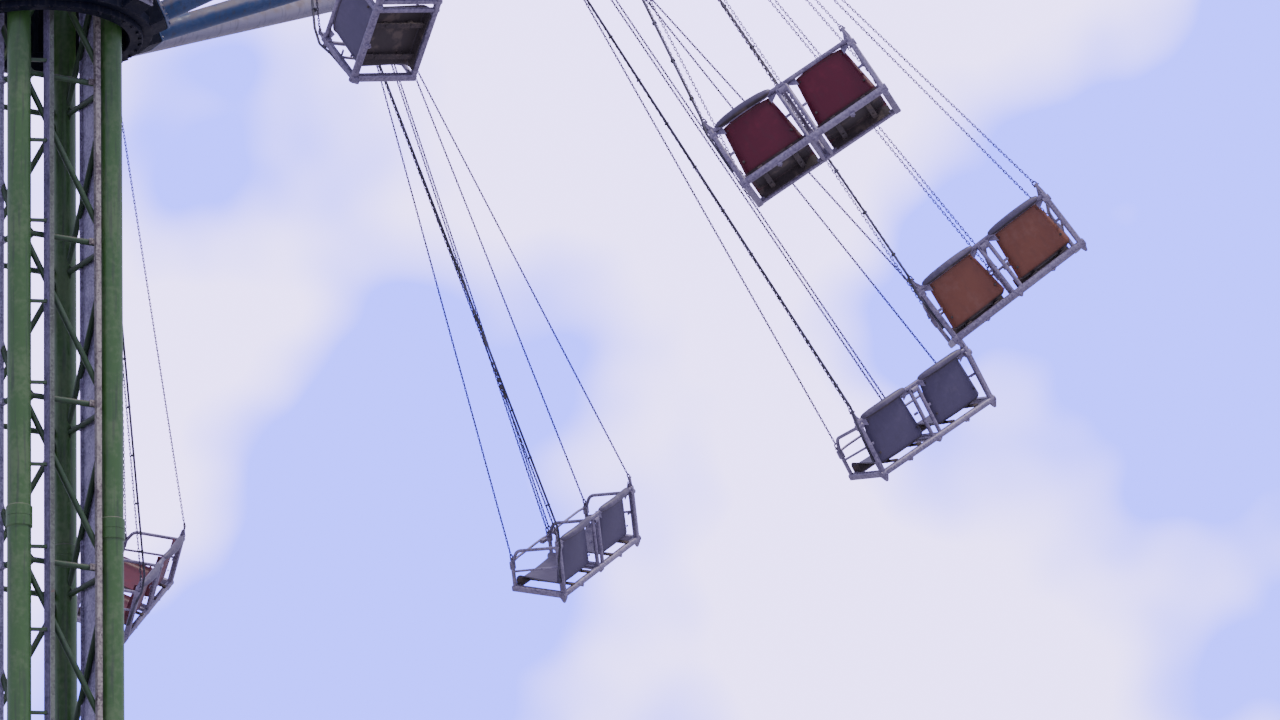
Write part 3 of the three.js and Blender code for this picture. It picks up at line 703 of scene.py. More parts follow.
# Cable tray and service rail
# On a side between the guide rails a deep, narrow channel carries the supply cables up the tower, under a
# worn cover strip. Arms from the nearest leg hold it, two in each bay. A square rail stands beside it.
FRONT_SIDE = 3
TRAY_NEAR = -0.196
TRAY_WIDE = 0.04
TRAY_DEEP = 0.105
TRAY_SHEET = 0.004
COVER_THICK = 0.012
COVER_LAP = 0.001
TRAY_ARM_RADIUS = 0.013
TRAY_ARM_DROP = 0.56
TRAY_RUNG_WIDE = 0.03
TRAY_RUNGS = (0.008, TRAY_DEEP - COVER_THICK - 0.006)
CABLES = ((0.022, 0.014), (0.054, 0.013))
CABLE_STEP = 0.1
CABLE_ASIDE = 0.002
SERVICE_MIDDLE = 0.2565
SERVICE_RAIL = 0.045
CLIP_LONG = 0.065
CLIP_WIDE = 0.05
CLIP_THICK = 0.012
CLIP_BOLT = 0.010
CLIP_BOLT_AWAY = 0.045
CLIP_BOLT_RISE = 0.012
TOUCH_GAP = 0.0003
SWAY = 0.002
# The tray channel's violet is a painted sky reflection on its shaded side.
TRAY_SKY_VIOLET = (0.37, 0.33, 0.52, 1.0)
TRAY_SKY_VIOLET_DARK = (0.15, 0.13, 0.24, 1.0)
# The cover's steel is a darker copy of the runners' steel: painted shade where the sun falls on it.
COVER_SHADE_GREY = (0.155, 0.185, 0.155, 1.0)
COVER_SHADE_BROWN = (0.06, 0.07, 0.06, 1.0)
CABLE_BLACK = (0.020, 0.019, 0.032, 1.0)
ACROSS = Vector((1, 0, 0))
AHEAD = Vector((0, 1, 0))
tray_sky_sheen_zinc = galvanised("tray_sky_sheen_zinc", TRAY_SKY_VIOLET, TRAY_SKY_VIOLET_DARK, size=0.8, rust=0.4)
cover_shade_steel = galvanised("cover_shade_steel", COVER_SHADE_GREY, COVER_SHADE_BROWN, size=0.9, rust=0.8, rough=0.5)
tray_out = outward(FRONT_SIDE)
beside = UP.cross(tray_out)
girt_face = flat(legs[0] + legs[1]).length / 2 + GIRT_RADIUS + TOUCH_GAP
tray_low, tray_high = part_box("cable_tray")


def on_front(away, deep, z=0.0):
    """A point of the front side: so far from its middle line, so far out from its horizontals."""
    return tray_out * (girt_face + deep) + beside * away + UP * z


def strip(shape, away, deep, wide, thick, edge=0.001):
    """An upright strip as high as the tray, given the middle of its section."""
    low = on_front(away, deep, tray_low.z)
    high = on_front(away, deep, tray_high.z)
    bar(shape, low, high, wide, thick, beside, edge)


tray = Shape()
tray_middle = TRAY_NEAR + TRAY_WIDE / 2
strip(tray, tray_middle, TRAY_SHEET / 2, TRAY_WIDE, TRAY_SHEET)
strip(tray, TRAY_NEAR + TRAY_SHEET / 2, TRAY_DEEP / 2, TRAY_SHEET, TRAY_DEEP)
tray_arms = Shape()
for half_bay in range(2, 2 * BAYS + 1):
    z = FIRST_LEVEL + half_bay * BAY / 2 - TRAY_ARM_DROP
    arm_end = on_front(TRAY_NEAR + TRAY_SHEET / 2, TRAY_DEEP / 2, z)
    leg = flat(legs[FRONT_SIDE]) + UP * z
    leg_side = leg + (arm_end - leg).normalized() * (LEG_RADIUS - WELD_SINK)
    bar(tray_arms, leg_side, arm_end, 2 * TRAY_ARM_RADIUS, 2 * TRAY_ARM_RADIUS, UP)
    for deep in TRAY_RUNGS:
        near = on_front(TRAY_NEAR + TRAY_SHEET / 2, deep, z)
        far = on_front(TRAY_NEAR + TRAY_WIDE, deep, z)
        bar(tray, near, far, TRAY_RUNG_WIDE, TRAY_SHEET, UP, edge=0.001)
# The channel is coloured violet as a painted sky reflection.
build("cable_tray_channel", tray, tray_sky_sheen_zinc, "tower", ["cable_tray"])
build("cable_tray_arms", tray_arms, bracing_shaded_green, "tower")

cover = Shape()
strip(cover, tray_middle, TRAY_DEEP - COVER_THICK / 2, TRAY_WIDE + COVER_LAP, COVER_THICK, edge=0.002)
# The cover is painted darker than the service rail, as painted shade.
build("cable_tray_cover", cover, cover_shade_steel, "tower")

service = Shape()
strip(service, SERVICE_MIDDLE, SERVICE_RAIL / 2, SERVICE_RAIL, SERVICE_RAIL, edge=0.004)
for z in LEVELS:
    near = on_front(SERVICE_MIDDLE - CLIP_LONG, CLIP_THICK / 2, z)
    far = on_front(SERVICE_MIDDLE, CLIP_THICK / 2, z)
    bar(service, near, far, CLIP_WIDE, CLIP_THICK, UP)
    for rise in (-CLIP_BOLT_RISE, CLIP_BOLT_RISE):
        spot = on_front(SERVICE_MIDDLE - CLIP_BOLT_AWAY, CLIP_THICK, z + rise)
        bolt(service, placed(spot, tray_out, UP), CLIP_BOLT)
build("service_rail_bar", service, runner_steel, "tower", ["service_rail"])


def rubber(name, colour, rough=0.6):
    """Black rubber or cable sheath, scuffed grey in places."""
    material, tree, surface = finish_of(name)
    weather = grouped(tree, WEATHERING, Size=4.0)
    feeds = {
        "Base Color": mixed(tree, product(tree, weather["Dirt"], 0.4), colour, ZINC_DARK),
        "Roughness": total(tree, product(tree, weather["Dirt"], 0.2), rough),
        "Normal": bumped(tree, weather["Grain"], 0.3),
    }
    feed(tree, surface, feeds)
    return material


cable_black = rubber("cable_sheath", CABLE_BLACK)
cables = Shape()
for index, (deep, radius) in enumerate(CABLES):
    path = []
    for step in range(int((tray_high.z - tray_low.z) / CABLE_STEP)):
        z = tray_low.z + CABLE_STEP + step * CABLE_STEP
        sway = SWAY * sin(4 * pi * z / BAY + index)
        path.append(on_front(tray_middle + CABLE_ASIDE + sway, deep, z))
    tube(cables, path, radius, 8)
build("tray_cables", cables, cable_black, "tower")

# Tower head
# A welded box on the four legs closes the tower, with a low pyramid cap and a short mast.
# It is painted like the tower and bolted down at each leg.
HEAD_BOLT = 0.016
HEAD_BOLT_AWAY = 0.07
HEAD_BOLT_SINK = 0.0005
head_green = painted("head_green_paint", GREEN, GREEN_FADED, 0.35, size=0.8)
frame["nodes"]["tower_head"].data.materials.clear()
frame["nodes"]["tower_head"].data.materials.append(head_green)
head_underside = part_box("tower_head")[0].z
head_bolts = Shape()
for leg in legs:
    for swing in range(4):
        away = Matrix.Rotation(pi / 4 + swing * pi / 2, 3, "Z") @ Vector((HEAD_BOLT_AWAY, 0, 0))
        spot = flat(leg) + away + UP * (head_underside + HEAD_BOLT_SINK)
        bolt(head_bolts, placed(spot, -UP, ACROSS), HEAD_BOLT)
build("head_bolts", head_bolts, rail_sky_sheen_zinc, "tower")

# Carriage
# Two welded rings round the tower with eight posts between them make the lifting carriage.
# Rollers in cheek plates run on the guide rails at both ends, and the lower ring carries the slewing ring.
COLLAR_INNER = 0.682
COLLAR_OUTER = 0.745
SEAT_RING_OUTER = 0.785
SEAT_RING_TALL = 0.05
COLLAR_TALL = 0.11
COLLAR_SINK = 0.01
CARRIAGE_TOP = 26.0
POSTS = 8
POST_SIZE = 0.05
ROLLER_RADIUS = 0.042
SHOE_HALF = 0.075
SHOE_TALL = 0.095
CHEEK = 0.012
CHEEK_BACK = 0.012
ROLLER_EDGE = 0.004
ROLLER_GAP = 0.002
AXLE_RADIUS = 0.012
AXLE_PROUD = 0.01
RING_BOLTS = 36
RING_BOLT = 0.016
RING_BOLT_INSET = 0.022
POST_SINK = 0.02
NAVY = (0.004, 0.006, 0.015, 1.0)
NAVY_FADED = (0.009, 0.011, 0.024, 1.0)
hub_low, hub_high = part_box("hub")
seat_z = hub_low.z - TOUCH_GAP
dark_paint = painted("dark_navy_paint", NAVY, NAVY_FADED, 0.5, wear=0.4, dust_and_sheen=0.15, shine=0.1)
carriage = Shape()


def ring(shape, inner, outer, low, high, edge=0.004, sides=96):
    """A flat ring round the tower's own axis."""
    profile = [(inner, low + edge), (inner + edge, low), (outer - edge, low), (outer, low + edge)]
    profile += [(outer, high - edge), (outer - edge, high), (inner + edge, high), (inner, high - edge)]
    turned(shape, profile, Matrix.Identity(4), sides, closed=True)


ring(carriage, COLLAR_INNER, SEAT_RING_OUTER, seat_z - SEAT_RING_TALL, seat_z)
ring(carriage, COLLAR_INNER, COLLAR_OUTER, seat_z - COLLAR_SINK, seat_z + COLLAR_TALL)
ring(carriage, COLLAR_INNER, COLLAR_OUTER, CARRIAGE_TOP - COLLAR_TALL, CARRIAGE_TOP)
post_radius = (COLLAR_INNER + COLLAR_OUTER) / 2
first_post = atan2(outward(0).y, outward(0).x) + pi / POSTS
for post in range(POSTS):
    angle = first_post + post * 2 * pi / POSTS
    line = Vector((cos(angle), sin(angle), 0))
    low = line * post_radius + UP * (seat_z + POST_SINK)
    high = line * post_radius + UP * (CARRIAGE_TOP - POST_SINK)
    bar(carriage, low, high, POST_SIZE, POST_SIZE, line, edge=0.004)
rail_face = flat(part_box("guide_rail_1")[0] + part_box("guide_rail_1")[1]).length / 2 + RAIL_DEEP / 2
for side in (0, 2):
    out = outward(side)
    across = out.cross(UP)
    for z in (seat_z + COLLAR_TALL / 2, CARRIAGE_TOP - COLLAR_TALL / 2):
        for way in (-1, 1):
            start = out * (rail_face + CHEEK_BACK) + across * way * (SHOE_HALF - CHEEK / 2) + UP * z
            cheek_long = post_radius - rail_face - CHEEK_BACK
            bar(carriage, start, start + out * cheek_long, CHEEK, SHOE_TALL, across)
        axle = out * (rail_face + ROLLER_RADIUS + ROLLER_GAP) + UP * z
        half = SHOE_HALF - CHEEK - ROLLER_GAP
        roller = [(ROLLER_RADIUS - ROLLER_EDGE, -half), (ROLLER_RADIUS, ROLLER_EDGE - half)]
        roller += [(ROLLER_RADIUS, half - ROLLER_EDGE), (ROLLER_RADIUS - ROLLER_EDGE, half)]
        turned(carriage, roller, placed(axle, across, out), 28)
        axle_end = across * (SHOE_HALF + AXLE_PROUD)
        tube(carriage, [axle - axle_end, axle + axle_end], AXLE_RADIUS, 12)
for step in range(RING_BOLTS):
    angle = step * 2 * pi / RING_BOLTS
    away = Vector((cos(angle), sin(angle), 0)) * (SEAT_RING_OUTER - RING_BOLT_INSET)
    bolt(carriage, placed(away + UP * (seat_z - SEAT_RING_TALL), -UP, ACROSS), RING_BOLT)
build("carriage_rings", carriage, dark_paint, "carriage", ["carriage_frame"])

# Hub
# A ring of channel section turns on the carriage and carries a welded bracket for each arm.
# It is painted dark navy, and the arms are bolted to the square ends of the brackets.
HUB_INNER = 0.76
HUB_OUTER = 0.86
BRACKET_WIDE = 0.23
BRACKET_TALL = 0.21
BRACKET_INNER = 0.815
GUSSET_TOP = 0.4
GUSSET_FOOT = 0.05
GUSSET_HEAD = 0.008
GUSSET_LAP = 0.02
GUSSET_NOSE = ((0.028, 0.09), (0.034, 0.14))
ROOT_RADIUS = 0.93
ARM_RISE = radians(23.7)
ARMS = 12
FLANGE_TALL = 0.07
HUB_WEB = 0.03
HUB_SEAM = 0.002
HUB_PLATE = 0.012
hub = Shape()
web_low = hub_low.z + FLANGE_TALL - HUB_SEAM
web_high = hub_high.z - FLANGE_TALL + HUB_SEAM
ring(hub, HUB_INNER, HUB_OUTER, hub_low.z, hub_low.z + FLANGE_TALL)
ring(hub, HUB_INNER, HUB_INNER + HUB_WEB, web_low, web_high)
ring(hub, HUB_INNER, HUB_OUTER, hub_high.z - FLANGE_TALL, hub_high.z)


def pin(number_of_arm):
    """The pin at an arm's tip that its chair swings on."""
    return Vector(joints[f"chair_{number_of_arm:02d}_swing"]["pos_m"])


def arm_line(number_of_arm):
    """Root and tip of an arm, the way it runs, and the level direction across it."""
    tip = pin(number_of_arm)
    level = flat(tip).normalized()
    root = level * ROOT_RADIUS + UP * (tip.z - (flat(tip).length - ROOT_RADIUS) * tan(ARM_RISE))
    return root, tip, (tip - root).normalized(), level.cross(UP)


for number_of_arm in range(1, ARMS + 1):
    root, tip, run, across = arm_line(number_of_arm)
    start = root - run * ((ROOT_RADIUS - BRACKET_INNER) / cos(ARM_RISE))
    bar(hub, start, root, BRACKET_WIDE, BRACKET_TALL, across, edge=0.006)
    level = flat(tip).normalized()
    for way in (-1, 1):
        side_plate = placed(across * way * (BRACKET_WIDE / 2 - HUB_PLATE), across, level)
        corners = [(HUB_OUTER - GUSSET_LAP, GUSSET_FOOT)]
        corners += [(ROOT_RADIUS - back, z) for back, z in GUSSET_NOSE]
        corners += [(HUB_OUTER + GUSSET_HEAD, GUSSET_TOP), (HUB_OUTER - GUSSET_LAP, GUSSET_TOP)]
        plate(hub, [(x, z + hub_low.z) for x, z in corners], side_plate, HUB_PLATE)
build("hub_ring", hub, dark_paint, "crown", ["hub"])

# Arms
# Twelve steel tubes rise outwards from the hub, each bolted on by a square flange at its root.
# A fork of two plates is welded on each tip for the hanger. The blue paint carries a brown-grey band over its
# upper half and down its sides, partly dust and partly a painted highlight, and on some arms it is a chalky
# lavender that is partly a painted sky reflection.
ARM_RADIUS = 0.0825
TUBE_BACK = 0.15
FLANGE_THICK = 0.018
FLANGE_BOLT = 0.018
FLANGE_BOLT_ASIDE = BRACKET_WIDE / 2 - 0.024
FLANGE_BOLT_RISE = BRACKET_TALL / 2 - 0.03
ARM_GAP = 0.0005
ARM_WELD = 0.014
ARM_WELD_LONG = 0.016
ARM_WELD_SINK = 0.002
ARM_WELD_LAP = 0.001
FORK_LAP = 0.03
BOSS_RADIUS = 0.036
BOSS_TALL = 0.010
BOSS_SINK = 0.001
PIN_NUT = 0.022
CHEEK_GAP = 0.062
CHEEK_TALL = 0.12
PIN_RADIUS = 0.023
BLUE = (0.008, 0.040, 0.125, 1.0)
BLUE_FADED = (0.030, 0.062, 0.15, 1.0)
# The brown-grey arm colour is dust and also a painted highlight band, carried down the arms' sides.
ARM_DUST_AND_SHEEN = (0.17, 0.145, 0.15, 1.0)
# The chalky lavender of these arms stands in partly for a painted sky reflection.
CHALKY_SKY_SHEEN_ARMS = (2, 5, 9, 11)
CHALK_SKY_SHEEN = (0.165, 0.165, 0.235, 1.0)
CHALK_SKY_SHEEN_FADED = (0.21, 0.20, 0.26, 1.0)
ARM_FINISHES = (("arm_blue_paint", BLUE, BLUE_FADED), ("arm_chalky_sky_sheen_paint", CHALK_SKY_SHEEN, CHALK_SKY_SHEEN_FADED))
# Dust reaching below the tubes' middles paints a highlight band on the arms as well as dust.
arm_paints = [
    painted(name, paint, faded, 0.36, size=0.9, dust_and_sheen=1.1, dust_and_sheen_from=-0.2, dust_and_sheen_colour=ARM_DUST_AND_SHEEN)
    for name, paint, faded in ARM_FINISHES
]


def heading(number_of_arm):
    """The level direction in which a chair swings out from its arm."""
    axis = joints[f"chair_{number_of_arm:02d}_swing"]["axis"]
    return Vector((-axis[1], axis[0], 0))


def rounded_end(back, front, tall, steps=8):
    """An outline that is square at the back and half round at the front, the round about the origin."""
    radius = tall / 2
    turns = [-pi / 2 + pi * step / steps for step in range(steps + 1)]
    nose = [(front + radius * cos(a), radius * sin(a)) for a in turns]
    return [(back, -radius)] + nose + [(back, radius)]


for number_of_arm in range(1, ARMS + 1):
    arm = Shape()
    root, tip, run, across = arm_line(number_of_arm)
    start = root + run * ARM_GAP
    end = tip - run * TUBE_BACK
    radii = [ARM_RADIUS, ARM_RADIUS, ARM_RADIUS, ARM_RADIUS - CHAMFER]
    tube(arm, [start, start + run * 0.01, end - run * CHAMFER, end], radii, 40)
    flange = placed(start + run * FLANGE_THICK / 2, run, across)
    face = FLANGE_THICK / 2
    bar(arm, start, start + run * FLANGE_THICK, BRACKET_WIDE, BRACKET_TALL, across, edge=0.004)
    weld = [(ARM_RADIUS + ARM_WELD, face - ARM_WELD_SINK)]
    weld += [(ARM_RADIUS - ARM_WELD_LAP, face + ARM_WELD_LONG)]
    turned(arm, weld, flange, 40)
    for x in (-FLANGE_BOLT_ASIDE, FLANGE_BOLT_ASIDE):
        for y in (-FLANGE_BOLT_RISE, 0, FLANGE_BOLT_RISE):
            bolt(arm, placed(flange @ Vector((x, y, face)), run, across), FLANGE_BOLT)
    out = heading(number_of_arm)
    beside = out.cross(UP)
    fork_run = out * cos(ARM_RISE) + UP * sin(ARM_RISE)
    for way in (-1, 1):
        aside = beside * way
        cheek = placed(tip + aside * (CHEEK_GAP + CHEEK) / 2, beside, fork_run)
        plate(arm, rounded_end(-TUBE_BACK - FORK_LAP, 0, CHEEK_TALL), cheek, CHEEK)
        boss_foot = CHEEK_GAP / 2 + CHEEK - BOSS_SINK
        profile = [(BOSS_RADIUS, 0), (BOSS_RADIUS, BOSS_TALL - 0.002), (BOSS_RADIUS - 0.003, BOSS_TALL)]
        turned(arm, profile, placed(tip + aside * boss_foot, aside, fork_run), 24)
        bolt(arm, placed(tip + aside * (boss_foot + BOSS_TALL), aside, fork_run), PIN_NUT)
    name = f"arm_tube_{number_of_arm:02d}"
    paint = arm_paints[number_of_arm in CHALKY_SKY_SHEEN_ARMS]
    build(name, arm, paint, "crown", [f"arm_{number_of_arm:02d}"])

# Chair frames
# A double chair is welded from galvanised tube: a thick round tube along the rear of its floor, square side
# rails, end posts with lugs on top, a double post in the middle, a top rail, bent armrests and lap bars.
# Above it hang the spreader bar and the swivel.
HANG = 5.161
CHAIR_PITCH = radians(15.7)
TWISTS = (0, -6.1, -16.7, -4, 3, -2, 5, 0, -3, 3.9, 23.7, -1.1)
HALF = 0.6
REAR = -0.237
FRONT = 0.237
REAR_TUBE = 0.0275
REAR_PROUD = 0.028
END_CAP = 0.031
END_CAP_LONG = 0.012
END_CAP_DOME = 0.004
FRONT_PROUD = 0.024
FLOOR_RAIL = 0.019
FLOOR_RAIL_AWAY = 0.035
FLOOR_CLAMP = 0.036
FLOOR_CLAMP_LONG = 0.04
FLOOR_CLAMP_THICK = 0.016
FLOOR_CLAMP_AHEAD = 0.004
FLOOR_CLAMP_DROP = 0.030
FLOOR_BOLTS = (-0.012, 0.02)
FLOOR_BOLT = 0.008
FLOOR_BOLT_DROP = 0.037
SIDE_RAIL = 0.05
FRONT_RAIL = 0.04
POST_WIDE = 0.042
POST_DEEP = 0.048
POST_DROP = 0.01
POST_HEAD = 0.024
FRONT_POST = 0.017
LOCK_Z = 0.208
LOCK_DEEP = 0.04
LOCK_WIDE = 0.045
LOCK_TALL = 0.075
SIDE_BRACE = 0.010
SIDE_BRACE_LOW = 0.15
MIDDLE_TUBE = 0.017
MIDDLE_HALF = 0.038
MIDDLE_BEND = 0.03
TOP_RAIL = 0.018
TOP_RAIL_Z = 0.468
LUG_Z = 0.575
LUG_FOOT = 0.02
LUG_HALF = 0.022
LUG_EYE = 0.016
LUG_THICK = 0.014
LUG_RIB_HEAD = 0.006
LUG_RIB_TALL = 0.055
LUG_RIB_THICK = 0.01
SMALL_LUG_HALF = 0.02
SMALL_LUG_THICK = 0.012
FRONT_LUG_TALL = 0.04
FRONT_LUG_SINK = 0.004
STRAP_Z = 0.25
STRAP_AHEAD = 0.02
STRAP_INSET = 0.008
STRAP_WIDE = 0.022
STRAP_THICK = 0.008
WEDGES = ((HALF - 0.016, 1, 0.535), (MIDDLE_HALF + 0.012, -1, 0.486))
WEDGE_AHEAD = 0.012
WEDGE_INSET = 0.012
WEDGE_LOW = 0.440
WEDGE_TIP_LOW = 0.396
WEDGE_TIP_TOP = 0.464
WEDGE_KNEE = 0.472
WEDGE_THICK = 0.008
FRONT_POST_Z = 0.241
ARMREST = 0.0145
ARMREST_REAR = 0.43
ARMREST_SINK = 0.02
ARMREST_SLEEVE = 0.027
ARMREST_SLEEVE_HALF = 0.03
ELBOW_BACK = 0.055
ELBOW_Z = 0.345
ELBOW_BEND = 0.085
LAP_BAR = 0.0105
LAP_END_Z = 0.233
LAP_Z = 0.236
LAP_AHEAD = 0.012
LAP_INNER = 0.02
LAP_KNEE = 0.1
LAP_BEND = 0.05
LAP_LOCK_ENDS = (0.07, 0.13)
LAP_LOCK_Z = 0.22
LAP_LOCK_WIDE = 0.034
LAP_LOCK_TALL = 0.04
CORNER_FOOT = 0.072
MIDDLE_FOOT = 0.050
FOOT_HEAD = ((0.015, 0.024), (0.03, 0.023))
FOOT_TOE = 0.010
FOOT_TIP = 0.006
SEAT_WIDE = 0.5
TOP_WIDE = 0.415
SEAT_MIDDLE = 0.315
PAN_Z = 0.080
BACK_TOP = 0.446
SPREADER_DROP = 0.378
SPREADER_HALF = 0.198
SPREADER_RADIUS = 0.022
SPREADER_PAST = 0.03
SPREADER_EDGE = 0.004
SPREADER_LUG_TALL = 0.05
SPREADER_LUG_SINK = 0.012
SHANK_RADIUS = 0.021
SHANK_TOP = -0.135
SWIVEL_LOW = -0.130
SWIVEL_TOP = -0.072
SWIVEL_RADIUS = 0.030
SWIVEL_NECK = 0.027
SWIVEL_EDGE = 0.003
NECK_FOOT = 0.024
NECK_HEAD = 0.019
NECK_TOP = -0.02
EYE_RADIUS = 0.032
EYE_HALF = 0.026
CHAIR_ZINC = (0.30, 0.27, 0.38, 1.0)
CHAIR_ZINC_DARK = (0.125, 0.11, 0.18, 1.0)
chair_zinc = galvanised("chair_zinc", CHAIR_ZINC, CHAIR_ZINC_DARK, rust=0.35, metal=0.45, rough=0.4)
CHAIR_SET = Matrix.Translation((0, 0, -HANG)) @ Matrix.Rotation(CHAIR_PITCH, 4, "X")


def at(u, v, w):
    """A point of a chair: across, ahead and up from the middle of its floor."""
    return Vector((u, v, w))


def bent(corners, radius, steps=6):
    """A path through corners, each inner one rounded to a radius."""
    path = [corners[0]]
    for before, corner, after in zip(corners, corners[1:], corners[2:]):
        back = (before - corner).normalized()
        ahead = (after - corner).normalized()
        half = back.angle(ahead) / 2
        away = min(radius / tan(half), (before - corner).length * 0.48, (after - corner).length * 0.48)
        centre = corner + (back + ahead).normalized() * (away / cos(half))
        first = corner + back * away - centre
        last = corner + ahead * away - centre
        turn = first.angle(last)
        for step in range(steps + 1):
            part = turn * step / steps
            path.append(centre + (first * sin(turn - part) + last * sin(part)) / sin(turn))
    path.append(corners[-1])
    return path


def up_the_back(w):
    """How far up the back of a seat a height is, from 0 at the pan to 1 at its top."""
    return min(1.0, max(0.0, (w - PAN_Z) / (BACK_TOP - PAN_Z)))


def seat_half(w):
    """Half the width of a seat at a height: it narrows from the pan to its top."""
    return (SEAT_WIDE + (TOP_WIDE - SEAT_WIDE) * up_the_back(w)) / 2


def floor_frame(chair):
    """The rear tube with its caps and clamps, the front rail, the side rails and a pair in the middle."""
    end = HALF + REAR_PROUD
    nose = FRONT + FRONT_PROUD
    tube(chair, [at(-end, REAR, 0), at(end, REAR, 0)], REAR_TUBE, 24)
    bar(chair, at(-HALF, FRONT, 0), at(HALF, FRONT, 0), FRONT_RAIL, FRONT_RAIL, AHEAD, edge=0.005)
    for way in (-1, 1):
        cap = placed(at(way * (end - END_CAP_LONG), REAR, 0), ACROSS * way, UP)
        profile = [(END_CAP, 0), (END_CAP, END_CAP_LONG), (END_CAP - CHAMFER, END_CAP_LONG + END_CAP_DOME)]
        turned(chair, profile, cap, 24)
        u = way * HALF
        bar(chair, at(u, REAR, 0), at(u, nose, 0), SIDE_RAIL, SIDE_RAIL, ACROSS, edge=0.007)
        u = way * FLOOR_RAIL_AWAY
        tube(chair, [at(u, REAR, 0), at(u, nose, 0)], FLOOR_RAIL, 16)
        u = way * SEAT_MIDDLE
        left = at(u - FLOOR_CLAMP / 2, REAR + FLOOR_CLAMP_AHEAD, -FLOOR_CLAMP_DROP)
        right = at(u + FLOOR_CLAMP / 2, REAR + FLOOR_CLAMP_AHEAD, -FLOOR_CLAMP_DROP)
        bar(chair, left, right, FLOOR_CLAMP_LONG, FLOOR_CLAMP_THICK, AHEAD)
        for v in FLOOR_BOLTS:
            bolt(chair, placed(at(u, REAR + v, -FLOOR_BOLT_DROP), -UP, ACROSS), FLOOR_BOLT)


def lug(chair, place, tall, half, thick):
    """An upright plate that narrows to a round eye, where a chain's shackle is pinned."""
    turns = [-pi / 6 + (pi + pi / 3) * step / 8 for step in range(9)]
    eye = [(LUG_EYE * cos(a), tall - LUG_EYE + LUG_EYE * sin(a)) for a in turns]
    plate(chair, [(-half, 0), (half, 0)] + eye, place, thick)


def end_posts(chair):
    """The rear posts and the lighter front ones, each with the lug for its chain on top."""
    for u in (-HALF, HALF):
        low = at(u, REAR, -POST_DROP)
        high = at(u, REAR, TOP_RAIL_Z + POST_HEAD)
        bar(chair, low, high, POST_WIDE, POST_DEEP, ACROSS, edge=0.009)
        foot = placed(at(u, REAR, TOP_RAIL_Z + LUG_FOOT), -AHEAD, ACROSS)
        lug(chair, foot, LUG_Z - TOP_RAIL_Z - LUG_FOOT, LUG_HALF, LUG_THICK)
        rib = [(-LUG_HALF, 0), (LUG_HALF, 0)]
        rib += [(LUG_RIB_HEAD, LUG_RIB_TALL), (-LUG_RIB_HEAD, LUG_RIB_TALL)]
        plate(chair, rib, foot @ Matrix.Rotation(pi / 2, 4, "Y"), LUG_RIB_THICK)
        brace = [at(u, REAR + STRAP_AHEAD, STRAP_Z), at(u, FRONT, SIDE_BRACE_LOW)]
        tube(chair, brace, SIDE_BRACE, 12)
    for u in (-HALF, 0, HALF):
        tube(chair, [at(u, FRONT, 0), at(u, FRONT, FRONT_POST_Z)], FRONT_POST, 18)
        lock = [at(u, FRONT + side * LOCK_DEEP / 2, LOCK_Z) for side in (-1, 1)]
        bar(chair, *lock, LOCK_WIDE, LOCK_TALL, ACROSS, edge=0.006)
        foot = placed(at(u, FRONT, FRONT_POST_Z - FRONT_LUG_SINK), -AHEAD, ACROSS)
        lug(chair, foot, FRONT_LUG_TALL, SMALL_LUG_HALF, SMALL_LUG_THICK)


def middle_post(chair):
    """The double post between the seats: one tube, bent over at the top rail."""
    low = at(MIDDLE_HALF, REAR, 0)
    high = at(MIDDLE_HALF, REAR, TOP_RAIL_Z)
    mirrored = Matrix.Diagonal((-1, 1, 1))
    path = [mirrored @ low, mirrored @ high, high, low]
    tube(chair, bent(path, MIDDLE_BEND, 8), MIDDLE_TUBE, 18)


def brackets(chair):
    """Wedge plates from the posts to the backs' top corners, and a flat strap half way down.

    A wedge is given by its post's place, the side of the back that it is on, and its top at the post.
    """
    on_back = Matrix(((1, 0, 0, 0), (0, 0, -1, REAR + WEDGE_AHEAD), (0, 1, 0, 0), (0, 0, 0, 1)))
    for way in (-1, 1):
        for post, side, head in WEDGES:
            corner = SEAT_MIDDLE + side * (TOP_WIDE / 2 - WEDGE_INSET)
            knee = post * 0.6 + corner * 0.4
            outline = [(way * post, WEDGE_LOW), (way * corner, WEDGE_TIP_LOW)]
            outline += [(way * corner, WEDGE_TIP_TOP), (way * knee, WEDGE_KNEE), (way * post, head)]
            if way * side > 0:
                outline.reverse()
            plate(chair, outline, on_back, WEDGE_THICK, edge=0.001)
            rim = SEAT_MIDDLE + side * (seat_half(STRAP_Z) - STRAP_INSET)
            strap = [at(way * end, REAR + STRAP_AHEAD, STRAP_Z) for end in (post, rim)]
            bar(chair, *strap, STRAP_WIDE, STRAP_THICK, UP)


